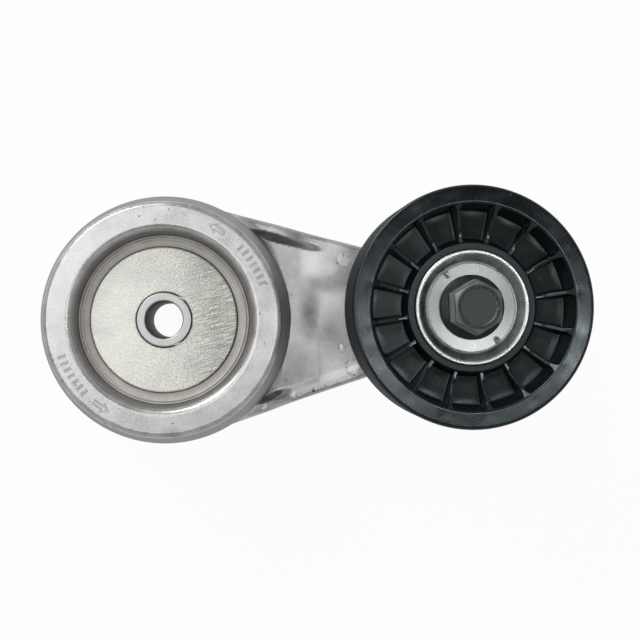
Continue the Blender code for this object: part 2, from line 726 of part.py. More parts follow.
def add_bearing():
    """Deep-groove ball bearing: two races, a cage, its balls and two seals."""
    place = (ARM_LENGTH, 0.0)
    bore = BEARING_BORE / 2
    inner = [(bore, BEARING_FRONT), (INNER_LAND, BEARING_FRONT)]
    inner += raceway(INNER_LAND, -1)
    inner += [(INNER_LAND, BEARING_REAR), (bore, BEARING_REAR)]
    turned("bearing_inner_race", inner, BEARING_STEEL, place, SMALL_STEPS)
    outer = [(BEARING_R, BEARING_FRONT), (BEARING_R, BEARING_REAR), (OUTER_LAND, BEARING_REAR)]
    outer += raceway(OUTER_LAND, 1)[::-1]
    outer += [(OUTER_LAND, BEARING_FRONT)]
    turned("bearing_outer_race", outer, BEARING_STEEL, place, SMALL_STEPS)
    pocket_low = BELT_PLANE - BALL_R - GAP
    cage_low = pocket_low - CAGE_BACK
    cage = turned(
        "bearing_cage",
        [
            (BALL_CIRCLE_R - CAGE_WALL / 2, BELT_PLANE + CAGE_REACH),
            (BALL_CIRCLE_R + CAGE_WALL / 2, BELT_PLANE + CAGE_REACH),
            (BALL_CIRCLE_R + CAGE_WALL / 2, cage_low),
            (BALL_CIRCLE_R - CAGE_WALL / 2, cage_low),
        ],
        CAGE_NYLON,
        place,
        SMALL_STEPS,
    )
    ball = ball_mesh("ball", BALL_R)
    pocket = ball_mesh("pocket", BALL_R + GAP)
    cut(cage, copies_round("ball_pockets", pocket, BALL_COUNT, 0.0, place))
    for i in range(BALL_COUNT):
        copy = ball.copy()
        copy.transform(Matrix.Rotation(i * 2 * math.pi / BALL_COUNT, 4, "Z"))
        add_object(f"bearing_ball_{i + 1}", copy, BEARING_STEEL, place)
    seal_in = INNER_LAND + GAP
    seal_out = OUTER_LAND - GAP
    rear_seal_low = cage_low - GAP - SEAL_THICKNESS
    front_seal_low = BEARING_FRONT - GAP - SEAL_THICKNESS
    for name, low in (("rear_bearing_seal", rear_seal_low), ("front_bearing_seal", front_seal_low)):
        high = low + SEAL_THICKNESS
        ring = [(seal_in, high), (seal_out, high), (seal_out, low), (seal_in, low)]
        turned(name, ring, SEAL_RUBBER, place, SMALL_STEPS)


def ball_mesh(name, radius):
    """A ball on the ball circle, in the pulley axis's frame."""
    shape = bmesh.new()
    bmesh.ops.create_uvsphere(shape, u_segments=BALL_SEGMENTS, v_segments=BALL_RINGS, radius=radius)
    bmesh.ops.translate(shape, verts=shape.verts, vec=(BALL_CIRCLE_R, 0.0, BELT_PLANE))
    mesh = bpy.data.meshes.new(name)
    shape.to_mesh(mesh)
    shape.free()
    mesh.shade_smooth()
    return mesh


def add_dust_shields():
    """Pressed shields in front of and behind the bearing."""
    place = (ARM_LENGTH, 0.0)
    roll_in = SHIELD_R - SHIELD_ROLL_WIDTH
    roll_r = SHIELD_ROLL_WIDTH / 2
    roll_mid = SHIELD_R - roll_r
    crest = [
        (roll_mid - roll_r * math.cos(a), SHIELD_TOP + SHIELD_ROLL_HEIGHT * math.sin(a))
        for a in (math.pi * i / 6 for i in range(1, 6))
    ]
    front = [(BOLT_HOLE_R, SHIELD_TOP), (roll_in - 2 * SHIELD_GROOVE, SHIELD_TOP)]
    front += [(roll_in - SHIELD_GROOVE, SHIELD_TOP - SHIELD_GROOVE), (roll_in, SHIELD_TOP - SHIELD_GROOVE)]
    front += crest
    front += [(SHIELD_R, SHIELD_TOP), (SHIELD_R, SHIELD_LOW), (BOLT_HOLE_R, SHIELD_LOW)]
    turned("front_dust_shield", front, ZINC_STEEL, place)
    rear_in = SPIGOT_R + GAP
    collar = rear_in + REAR_COLLAR_WALL
    rear = [(rear_in, SEAT_LOW), (collar, SEAT_LOW), (collar, REAR_SHIELD_TOP)]
    rear += [(REAR_SHIELD_RADIUS, REAR_SHIELD_TOP), (REAR_SHIELD_RADIUS, REAR_SHIELD_LOW)]
    rear += [(rear_in, REAR_SHIELD_LOW)]
    turned("rear_dust_shield", rear, ZINC_STEEL, place)


def add_bolt():
    """Hex flange bolt that clamps the front shield and the bearing's inner race to the boss."""
    place = (ARM_LENGTH, 0.0)
    flange_r = BOLT_FLANGE_DIAMETER / 2
    flange_top = BOLT_SEAT + BOLT_FLANGE_HEIGHT
    hex_r = BOLT_ACROSS_FLATS / 2
    hex_top = flange_top + BOLT_HEX_HEIGHT
    end = BOSS_LOW + BOLT_END_SHY
    bolt = turned(
        "pulley_bolt",
        [
            (0.0, flange_top),
            (hex_r, flange_top),
            (flange_r, BOLT_SEAT + BOLT_FLANGE_EDGE),
            (flange_r, BOLT_SEAT),
            (BOLT_R, BOLT_SEAT),
            (BOLT_R, end + BORE_CHAMFER),
            (BOLT_R - BORE_CHAMFER, end),
            (0.0, end),
        ],
        BLACK_OXIDE,
        place,
        SMALL_STEPS,
    )
    corner = hex_r / math.cos(math.pi / 6)
    corners = [math.pi / 6 + i * math.pi / 3 for i in range(6)]
    outline = [(corner * math.cos(a), corner * math.sin(a)) for a in corners]
    head = plate("bolt_hex", outline, flange_top - PASS, hex_top, None, place)
    chamfer = corner - hex_r
    crown = turned(
        "bolt_crown",
        [
            (0.0, hex_top + PASS),
            (hex_r - chamfer - PASS, hex_top + PASS),
            (hex_r - chamfer, hex_top),
            (corner, hex_top - chamfer),
            (corner + PASS, hex_top - chamfer),
            (corner + PASS, BOLT_SEAT),
            (0.0, BOLT_SEAT),
        ],
        None,
        place,
        SMALL_STEPS,
    )
    combine(head, crown, "INTERSECT")
    cut(head, rod("bolt_recess", BOLT_RECESS_DIAMETER / 2, hex_top - BOLT_RECESS_DEPTH, hex_top + PASS, place))
    join(bolt, head)


def main():
    add_base_casting()
    add_pivot()
    add_spring_and_damper()
    add_arm()
    add_pulley()
    add_bearing()
    add_dust_shields()
    add_bolt()


main()
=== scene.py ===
"""Dressed model of a spring-loaded belt tensioner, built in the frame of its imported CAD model.

Lengths in this file are millimetres, and angles are degrees, until a mesh or a lamp is made.
"""

import logging
import math
from collections.abc import Callable, Mapping, Sequence
from dataclasses import dataclass, field
from enum import Enum
from functools import cache

import bpy
import numpy as np
import numpy.typing as npt
from mathutils import Matrix, Vector


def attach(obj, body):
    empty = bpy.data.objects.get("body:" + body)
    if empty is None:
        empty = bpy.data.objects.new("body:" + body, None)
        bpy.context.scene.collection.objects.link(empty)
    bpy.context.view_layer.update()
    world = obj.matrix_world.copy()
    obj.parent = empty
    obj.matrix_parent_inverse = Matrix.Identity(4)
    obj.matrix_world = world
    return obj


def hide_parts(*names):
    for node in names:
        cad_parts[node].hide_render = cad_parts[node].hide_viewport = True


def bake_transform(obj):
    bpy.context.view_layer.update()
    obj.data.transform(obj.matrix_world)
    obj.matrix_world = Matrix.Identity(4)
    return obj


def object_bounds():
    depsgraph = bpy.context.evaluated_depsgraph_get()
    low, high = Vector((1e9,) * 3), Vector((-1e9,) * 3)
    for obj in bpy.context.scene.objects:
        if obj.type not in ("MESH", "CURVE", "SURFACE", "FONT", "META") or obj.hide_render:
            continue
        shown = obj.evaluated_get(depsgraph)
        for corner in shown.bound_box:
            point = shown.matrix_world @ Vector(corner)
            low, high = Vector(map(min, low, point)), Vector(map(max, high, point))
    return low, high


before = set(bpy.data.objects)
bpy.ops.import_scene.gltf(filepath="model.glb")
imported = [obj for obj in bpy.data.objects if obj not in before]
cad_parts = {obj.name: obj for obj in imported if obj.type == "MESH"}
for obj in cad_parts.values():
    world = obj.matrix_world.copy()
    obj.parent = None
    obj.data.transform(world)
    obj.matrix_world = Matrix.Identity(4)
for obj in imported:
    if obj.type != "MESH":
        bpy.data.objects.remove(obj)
CAD_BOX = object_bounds()

LOG = logging.getLogger("tensioner")

Array = npt.NDArray[np.float64]
Index = npt.NDArray[np.int64]
Mask = npt.NDArray[np.bool_]
Field = Callable[[Array, Array, Array], Array]
Place = tuple[float, float]  # X and Y, or radius and height in a turned section
Span = tuple[float, float]  # lowest and highest value
Triple = tuple[float, float, float]
Socket = bpy.types.NodeSocket
Layers = list[tuple[Socket, str]]

MM = 0.001
PIVOT: Place = (0.0, 0.0)
WHEEL: Place = (96.0, 0.0)  # pulley axis, one arm length from the pivot
MIX_A, MIX_B, MIX_OUT = 6, 7, 2  # colour sockets of a Mix node
STRAIGHT = 1.56  # half the angle, in radians, of a corner that hardly turns
FILLET_SHARE = 0.49  # largest share of an edge that one fillet takes
SHARP_ANGLE = 38.0  # a mesh without normals of its own stays sharp at edges that turn more
GRAIN_SHARE = 0.4  # share that the grain has in a finish's tone; its blotches have the rest
NOISE_SPAN: Span = (0.36, 0.64)  # noise values of a finish's darkest and lightest tone


class Body(Enum):
    """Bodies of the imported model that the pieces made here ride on."""

    BASE = "base"
    ARM = "arm"
    WHEEL = "pulley_wheel"


class Slot(Enum):
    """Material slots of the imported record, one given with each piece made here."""

    CAST = "cast_aluminium"
    ZINC = "zinc_plated_steel"
    BRIGHT = "bright_steel"
    SPRING = "spring_steel"
    OXIDE = "black_oxide_steel"
    GLASS_NYLON = "black_glass_filled_nylon"
    WASHER = "grey_brown_nylon"


def srgb(code: str) -> tuple[float, float, float, float]:
    """Turns an sRGB hex colour into linear RGBA.

    Args:
        code: Colour as "#rrggbb".

    Returns:
        Linear red, green, blue and an alpha of 1.
    """
    values = [int(code[i : i + 2], 16) / 255 for i in (1, 3, 5)]
    red, green, blue = (v / 12.92 if v <= 0.04045 else ((v + 0.055) / 1.055) ** 2.4 for v in values)
    return red, green, blue, 1.0


def add_node(
    tree: bpy.types.NodeTree, kind: str, inputs: Mapping[str | int, object] | None = None, **settings: object
) -> bpy.types.Node:
    """Adds a shader node with its settings, links and socket values.

    Args:
        tree: Node tree that gets the node.
        kind: Node type without its "ShaderNode" prefix.
        inputs: Socket name or number, and the output linked to it or the value it holds.
        **settings: Properties of the node itself.

    Returns:
        The new node.
    """
    node = tree.nodes.new("ShaderNode" + kind)
    for name, value in settings.items():
        setattr(node, name, value)
    for socket, value in (inputs or {}).items():
        if isinstance(value, bpy.types.NodeSocket):
            tree.links.new(value, node.inputs[socket])
        else:
            node.inputs[socket].default_value = value
    return node


def eased(low: float, high: float, value: Array) -> Array:
    """Eases from 0 where the value is low to 1 where it is high."""
    share = np.clip((value - low) / (high - low), 0.0, 1.0)
    return share * share * (3.0 - 2.0 * share)


def joined(first: Array, second: Array, radius: Array | float) -> Array:
    """Distance to two solids joined with a fillet of this radius."""
    corner = np.hypot(np.maximum(radius - first, 0.0), np.maximum(radius - second, 0.0))
    return np.maximum(np.minimum(first, second), radius) - corner


def common(first: Array, second: Array, radius: Array | float) -> Array:
    """Distance to what two solids share, with its edge rounded to this radius."""
    return -joined(-first, -second, radius)


def without(solid: Array, tool: Array, radius: Array | float) -> Array:
    """Distance to a solid with a tool cut from it, its edge rounded to this radius."""
    return common(solid, -tool, radius)


def slab(span: Span, value: Array) -> Array:
    """Distance to what lies between two values."""
    return np.maximum(span[0] - value, value - span[1])


@dataclass(frozen=True)
class Corner:
    """Corner of a turned profile: distance from the axis, height and fillet radius."""

    radius: float
    height: float
    fillet: float = 0.0


def rounded(corners: Sequence[Corner], arc_steps: int = 7, longest: float = 1e9) -> Array:
    """Makes a closed profile with each corner rounded by its fillet.

    Args:
        corners: Corners in order round the section.
        arc_steps: Edges in each fillet.
        longest: Longest edge that a straight run may keep.

    Returns:
        Loop of (radius, height) points, anticlockwise.
    """
    places = np.array([(c.radius, c.height) for c in corners])
    loop = []
    for i, corner in enumerate(corners):
        here = places[i]
        to_last, to_next = places[i - 1] - here, places[(i + 1) % len(places)] - here
        lengths = np.hypot(*to_last), np.hypot(*to_next)
        back, ahead = to_last / lengths[0], to_next / lengths[1]
        half = math.acos(np.clip(back @ ahead, -1.0, 1.0)) / 2
        if corner.fillet == 0.0 or half > STRAIGHT:
            loop.append(here)
            continue
        reach = min(corner.fillet / math.tan(half), FILLET_SHARE * min(lengths))
        centre = here + (back + ahead) / np.hypot(*(back + ahead)) * reach / math.cos(half)
        sweep = math.pi - 2 * half
        for share in np.linspace(0.0, 1.0, arc_steps + 1):
            start, end = math.sin((1 - share) * sweep), math.sin(share * sweep)
            spoke = start * (here + back * reach - centre) + end * (here + ahead * reach - centre)
            loop.append(centre + spoke / math.sin(sweep))
    return supported(np.array(loop), longest)


def supported(loop: Array, longest: float) -> Array:
    """Adds points near the ends of straight runs, so that smooth shading leaves them flat.

    Args:
        loop: Closed profile.
        longest: Longest edge that a straight run may keep.

    Returns:
        The profile with the added points, anticlockwise.
    """
    margin = 0.2
    points = []
    for here, after in zip(loop, np.roll(loop, -1, axis=0)):
        length = float(np.hypot(*(after - here)))
        if length < 1e-6:
            continue
        points.append(here)
        if length > 6 * margin:
            inner = np.linspace(margin, length - margin, max(2, math.ceil(length / longest) + 1))
            points.extend(here + (after - here) * (at / length) for at in inner)
    made = np.array(points)
    x, y = made.T
    area = np.sum(x * np.roll(y, -1) - np.roll(x, -1) * y)
    return made if area > 0 else made[::-1]


@dataclass(frozen=True)
class Twist:
    """Winding about the pivot: the body that a piece would follow and the heights between which it would
    wind; the winding is not built here.
    """

    body: Body
    start: float
    end: float


@dataclass
class Shape:
    """A mesh in millimetres, with exact normals and values per point where they are known."""

    points: Array
    faces: list[list[int]]
    normals: Array | None = None
    marks: dict[str, Array] = field(default_factory=dict)

    def piece(
        self,
        name: str,
        body: Body,
        slot: Slot,
        finish: "Finish",
        stands_for: Sequence[str] = (),
        twist: Twist | None = None,
    ) -> bpy.types.Object:
        """Makes the mesh a piece of the dressed model.

        Args:
            name: Name of the piece.
            body: Body that it rides on.
            slot: Record slot that its finish belongs to; not used.
            finish: Finish that it gets.
            stands_for: CAD nodes that it replaces.
            twist: Winding towards another body, where the piece has one; such a piece is baked in place and
                not attached to a body.

        Returns:
            The new object.
        """
        mesh = bpy.data.meshes.new(name)
        mesh.from_pydata((self.points * MM).tolist(), [], self.faces)
        mesh.shade_smooth()
        for mark, values in self.marks.items():
            mesh.attributes.new(mark, "FLOAT", "POINT").data.foreach_set("value", values.astype(np.float32))
        if self.normals is None:
            mesh.set_sharp_from_angle(angle=math.radians(SHARP_ANGLE))
        else:
            mesh.normals_split_custom_set_from_vertices(self.normals.tolist())
        mesh.materials.append(finish.material())
        made = bpy.data.objects.new(name, mesh)
        bpy.context.scene.collection.objects.link(made)
        if twist:
            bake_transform(made)
        else:
            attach(made, body.value)
        if stands_for:
            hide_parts(*stands_for)
        LOG.info("%s: %d faces on %s, %s", name, len(self.faces), body.value, finish.name)
        return made


def grid_faces(rows: int, columns: int, closed: bool = True) -> list[list[int]]:
    """Makes the quads of a grid of points that closes round its columns.

    Args:
        rows: Rows of points.
        columns: Points in each row.
        closed: True where the last row joins the first.

    Returns:
        Four point numbers for each quad.
    """
    row = np.arange(rows if closed else rows - 1)[:, None]
    column = np.arange(columns)[None, :]
    next_row, next_column = (row + 1) % rows, (column + 1) % columns
    quads = [row * columns + column, row * columns + next_column]
    quads += [next_row * columns + next_column, next_row * columns + column]
    return np.stack(quads, axis=-1).reshape(-1, 4).tolist()


def turned(profile: Array, steps: int, centre: Place = PIVOT, capped: bool = False) -> Shape:
    """Turns a profile round an upright axis.

    Args:
        profile: Anticlockwise (radius, height) points.
        steps: Points round the axis.
        centre: Place of the axis.
        capped: True where the profile is open and both its ends are closed by discs.

    Returns:
        The turned shape.
    """
    angles = np.arange(steps) * (2 * math.pi / steps)
    radius, height = profile[:, :1], profile[:, 1:]
    x = centre[0] + radius * np.cos(angles)
    y = centre[1] + radius * np.sin(angles)
    points = np.stack([x, y, np.broadcast_to(height, x.shape)], axis=-1).reshape(-1, 3)
    faces = grid_faces(len(profile), steps, closed=not capped)
    if capped:
        faces.append(list(range(steps))[::-1])
        faces.append(list(range(len(points) - steps, len(points))))
    return Shape(points, faces)


class TurnedField:
    """Distance to a turned solid, looked up in a table over its section."""

    def __init__(self, corners: Sequence[Corner], pitch: float = 0.15, margin: float = 6.0) -> None:
        """Fills the table.

        Args:
            corners: Corners of the section.
            pitch: Spacing of the table.
            margin: Room round the section that the table covers.
        """
        loop = rounded(corners, arc_steps=14)
        self.pitch = pitch
        self.low = np.array([0.0, loop[:, 1].min() - margin])
        high = loop.max(axis=0) + margin
        self.shape = tuple(np.ceil((high - self.low) / pitch).astype(int) + 1)
        steps = np.stack(np.meshgrid(*map(np.arange, self.shape), indexing="ij"), axis=-1)
        self.table = self.section_distance(self.low + steps.reshape(-1, 2) * pitch, loop).reshape(self.shape)

    @staticmethod
    def section_distance(points: Array, loop: Array) -> Array:
        """Measures points against a closed loop.

        Args:
            points: Places in the section.
            loop: Closed profile.

        Returns:
            Signed distances, negative inside.
        """
        nearest = np.full(len(points), np.inf)
        inside = np.zeros(len(points), dtype=bool)
        for start, end in zip(loop, np.roll(loop, -1, axis=0)):
            edge, offset = end - start, points - start
            share = np.clip(offset @ edge / (edge @ edge), 0.0, 1.0)
            nearest = np.minimum(nearest, ((offset - share[:, None] * edge) ** 2).sum(axis=1))
            if edge[1]:
                crosses = (start[1] > points[:, 1]) != (end[1] > points[:, 1])
                inside ^= crosses & (points[:, 0] < start[0] + offset[:, 1] / edge[1] * edge[0])
        return np.where(inside, -1.0, 1.0) * np.sqrt(nearest)

    def __call__(self, radius: Array, height: Array) -> Array:
        """Looks up the distance.

        Args:
            radius: Distances from the axis.
            height: Heights.

        Returns:
            Signed distances to the solid, negative inside.
        """
        column = np.clip((radius - self.low[0]) / self.pitch, 0.0, self.shape[0] - 1.001)
        row = np.clip((height - self.low[1]) / self.pitch, 0.0, self.shape[1] - 1.001)
        i, j = column.astype(int), row.astype(int)
        u, v = column - i, row - j
        lower = self.table[i, j] * (1 - u) + self.table[i + 1, j] * u
        upper = self.table[i, j + 1] * (1 - u) + self.table[i + 1, j + 1] * u
        return lower * (1 - v) + upper * v


class SurfaceNet:
    """Mesh of a solid given by a distance field: one point in each grid cell that its surface crosses."""

    def __init__(self, solid: Field, low: Sequence[float], high: Sequence[float], pitch: float) -> None:
        """Keeps the field and its grid.

        Args:
            solid: Distance field, negative inside.
            low: Lowest corner of a box round the solid.
            high: Highest corner of that box.
            pitch: Size of a grid cell.
        """
        self.solid = solid
        self.pitch = pitch
        self.axes = [np.arange(a, b + pitch, pitch) for a, b in zip(low, high)]

    def slope(self, points: Array) -> tuple[Array, Array]:
        """Measures the field and its gradient.

        Args:
            points: Places, one a row.

        Returns:
            Distances and gradients.
        """
        step = 0.02
        value = self.solid(*points.T)
        moved = [self.solid(*(points + step * unit).T) for unit in np.eye(3)]
        return value, (np.stack(moved, axis=1) - value[:, None]) / step

    def settled(self, points: Array, rounds: int) -> Array:
        """Moves points along the gradient onto the surface.

        Args:
            points: Places near the surface.
            rounds: How often they move.

        Returns:
            The moved points.
        """
        for _ in range(rounds):
            value, slope = self.slope(points)
            step = slope * (value / np.maximum((slope**2).sum(axis=1), 0.1))[:, None]
            points = points - np.clip(step, -self.pitch, self.pitch)
        return points

    def shape(self) -> Shape:
        """Makes the mesh.

        Returns:
            Quads with the field's own normals.
        """
        values = self.solid(*np.meshgrid(*self.axes, indexing="ij"))
        inside = values < 0
        cells = np.array(values.shape) - 1
        offsets = np.array([[i, j, k] for i in (0, 1) for j in (0, 1) for k in (0, 1)])
        corners = [tuple(slice(a, a + n) for a, n in zip(offset, cells)) for offset in offsets]
        count = sum(inside[corner].astype(int) for corner in corners)
        active = np.argwhere((count > 0) & (count < 8))
        number = np.full(cells, -1)
        number[tuple(active.T)] = np.arange(len(active))
        total, crossings = np.zeros((len(active), 3)), np.zeros(len(active))
        for a in offsets:
            for b in (a + unit for unit in np.eye(3, dtype=int) if (a + unit).max() < 2):
                first, second = values[tuple((active + a).T)], values[tuple((active + b).T)]
                crosses = (first < 0) != (second < 0)
                share = np.where(crosses, first / np.where(crosses, first - second, 1.0), 0.0)
                total += np.where(crosses[:, None], active + a + share[:, None] * (b - a), 0.0)
                crossings += crosses
        origin = np.array([axis[0] for axis in self.axes])
        points = self.settled(origin + total / crossings[:, None] * self.pitch, 3)
        faces = np.concatenate([self.quads(inside, number, axis) for axis in range(3)])
        for _ in range(2):
            points = self.settled(self.relaxed(points, faces), 2)
        slope = self.slope(points)[1]
        return Shape(points, faces.tolist(), slope / np.linalg.norm(slope, axis=1)[:, None])

    @staticmethod
    def quads(inside: Mask, number: Index, axis: int) -> Index:
        """Makes the quads across the grid edges of one axis that the surface crosses.

        Args:
            inside: Grid points that lie in the solid.
            number: Number of the mesh point in each cell, or -1.
            axis: Axis of the grid edges.

        Returns:
            Four point numbers for each quad.
        """
        side, other = (axis + 1) % 3, (axis + 2) % 3
        start = np.take(inside, np.arange(inside.shape[axis] - 1), axis=axis)
        end = np.take(inside, np.arange(1, inside.shape[axis]), axis=axis)
        edges = np.argwhere(start != end)
        unit = np.eye(3, dtype=int)
        corners = [edges - unit[side] - unit[other], edges - unit[other], edges, edges - unit[side]]
        made = np.stack([number[tuple(corner.T)] for corner in corners], axis=1)
        return np.where(start[tuple(edges.T)][:, None], made, made[:, ::-1])

    @staticmethod
    def relaxed(points: Array, faces: Index) -> Array:
        """Moves each point half way to the mean of its neighbours.

        Args:
            points: Mesh points.
            faces: Quads of the mesh.

        Returns:
            The moved points.
        """
        total, count = np.zeros_like(points), np.zeros(len(points))
        for k in range(4):
            ends, others = faces[:, k], faces[:, (k + 1) % 4]
            for near, far in ((ends, others), (others, ends)):
                count += np.bincount(near, minlength=len(points))
                for axis in range(3):
                    total[:, axis] += np.bincount(near, points[far, axis], minlength=len(points))
        return 0.5 * points + 0.5 * total / count[:, None]


@dataclass(frozen=True)
class Finish:
    """A surface: two tones mixed by blotches and grain, with roughness and bump from the same grain."""

    name: str
    dark: str
    light: str
    metallic: float
    rough: Span
    mottle: float  # size of the blotches
    grain: float  # size of the grain, drawn coarser than the real one, which is too fine to show
    depth: float  # height of the grain
    ior: float = 1.5
    wall: str | None = None  # tone where the skin mark is 1; that mark carries duller skin and wear, and also painted shade and painted highlight
    wall_rough: float = 0.6  # roughness there
    edge: str = "#ffffff"  # tint of what the surface reflects at a glancing angle

    @cache
    def material(self) -> bpy.types.Material:
        """Makes the material on the finish's first use.

        Returns:
            The material that all pieces with this finish share.
        """
        made = bpy.data.materials.new(self.name)
        made.use_nodes = True
        tree = made.node_tree
        shader = tree.nodes["Principled BSDF"]
        shader.inputs["Metallic"].default_value = self.metallic
        shader.inputs["Specular Tint"].default_value = srgb(self.edge)
        if not self.metallic:
            shader.inputs["IOR"].default_value = self.ior
        place = add_node(tree, "TexCoord").outputs["Object"]
        blotch = {"Vector": place, "Scale": 1 / (self.mottle * MM), "Detail": 4.0}
        grain = {"Vector": place, "Scale": 1 / (self.grain * MM), "Detail": 4.0, "Roughness": 0.65}
        broad = add_node(tree, "TexNoise", blotch).outputs[0]
        fine = add_node(tree, "TexNoise", grain).outputs[0]
        share = add_node(tree, "Math", {0: fine, 1: GRAIN_SHARE}, operation="MULTIPLY").outputs[0]
        mixing = {0: broad, 1: 1.0 - GRAIN_SHARE, 2: share}
        both = add_node(tree, "Math", mixing, operation="MULTIPLY_ADD").outputs[0]
        low, high = NOISE_SPAN
        layers = [(add_node(tree, "MapRange", {0: both, 1: low, 2: high}).outputs[0], self.light)]
        span = {0: both, 1: low, 2: high, 3: self.rough[0], 4: self.rough[1]}
        rough = add_node(tree, "MapRange", span).outputs[0]
        if self.wall:
            skin_wear_and_painted_light = add_node(tree, "Attribute", attribute_name="skin_wear_and_painted_light").outputs["Fac"]
            layers.append((skin_wear_and_painted_light, self.wall))
            rough = add_node(tree, "Mix", {0: skin_wear_and_painted_light, 2: rough, 3: self.wall_rough}).outputs[0]
        more, height = self.detail(tree, place, fine)
        colour: object = srgb(self.dark)
        for share, tone in layers + more:
            sockets = {0: share, MIX_A: colour, MIX_B: srgb(tone)}
            colour = add_node(tree, "Mix", sockets, data_type="RGBA").outputs[MIX_OUT]
        bump = add_node(tree, "Bump", {"Height": height, "Distance": self.depth * MM, "Strength": 1.0})
        tree.links.new(colour, shader.inputs["Base Color"])
        tree.links.new(rough, shader.inputs["Roughness"])
        tree.links.new(bump.outputs["Normal"], shader.inputs["Normal"])
        return made

    def detail(self, tree: bpy.types.NodeTree, place: Socket, height: Socket) -> tuple[Layers, Socket]:
        """Adds what only this finish has.

        Args:
            tree: Node tree of the material.
            place: Object coordinates.
            height: Height of the grain.

        Returns:
            Tones laid over the base in order, each with its share, and the height that the bump reads.
        """
        return [], height


@dataclass(frozen=True)
class DieCast(Finish):
    """As-cast aluminium: duller walls, grey patches of painted shade, fresh metal where flash was trimmed,
    and small pits.
    """

    # Dark grey of the painted shade on the web and on the sides of the raised marks.
    shade_tone: str = "#5c5c5d"
    fresh: str = "#e2e1e5"
    pit: str = "#504e50"
    shade_size: float = 4.0
    tear_size: float = 1.1
    tear_span: Span = (1.36, 1.52)  # where torn metal starts and is whole
    tear_height: float = 3.0  # in heights of the grain
    pit_size: float = 1.3  # drawn coarser than real pits, which are too fine to show
    pit_span: Span = (0.725, 0.775)  # where a pit starts and is deepest
    pit_depth: float = 3.0  # in heights of the grain

    def detail(self, tree: bpy.types.NodeTree, place: Socket, height: Socket) -> tuple[Layers, Socket]:
        """Adds painted shade in grey clouds, torn patches of fresh metal, and pits.

        Args:
            tree: Node tree of the material.
            place: Object coordinates.
            height: Height of the grain.

        Returns:
            The three tones with their shares, and the height raised at the torn metal and sunk at the pits.
        """
        painted_shade = add_node(tree, "Attribute", attribute_name="painted_shade").outputs["Fac"]
        clouds = {"Vector": place, "Scale": 1 / (self.shade_size * MM), "Detail": 3.0}
        cloud = add_node(tree, "TexNoise", clouds).outputs[0]
        thin = add_node(tree, "MapRange", {0: cloud, 1: 0.3, 2: 0.7, 3: 0.7, 4: 1.0}).outputs[0]
        shaded = add_node(tree, "Math", {0: painted_shade, 1: thin}, operation="MULTIPLY").outputs[0]
        trim = add_node(tree, "Attribute", attribute_name="trim").outputs["Fac"]
        tearing = {"Vector": place, "Scale": 1 / (self.tear_size * MM), "Detail": 5.0, "Roughness": 0.7}
        tear = add_node(tree, "TexNoise", tearing).outputs[0]
        torn = add_node(tree, "Math", {0: tear, 1: 1.6, 2: trim}, operation="MULTIPLY_ADD").outputs[0]
        patch = add_node(tree, "MapRange", {0: torn, 1: self.tear_span[0], 2: self.tear_span[1]}).outputs[0]
        pitting = {"Vector": place, "Scale": 1 / (self.pit_size * MM), "Detail": 2.0}
        pit = add_node(tree, "TexNoise", pitting).outputs[0]
        reach = add_node(tree, "Math", {0: trim, 1: 0.1, 2: pit}, operation="MULTIPLY_ADD").outputs[0]
        hole = add_node(tree, "MapRange", {0: reach, 1: self.pit_span[0], 2: self.pit_span[1]}).outputs[0]
        sinking = {0: hole, 1: -self.pit_depth, 2: height}
        sunk = add_node(tree, "Math", sinking, operation="MULTIPLY_ADD").outputs[0]
        raising = {0: patch, 1: self.tear_height, 2: sunk}
        raised = add_node(tree, "Math", raising, operation="MULTIPLY_ADD").outputs[0]
        return [(shaded, self.shade_tone), (patch, self.fresh), (hole, self.pit)], raised


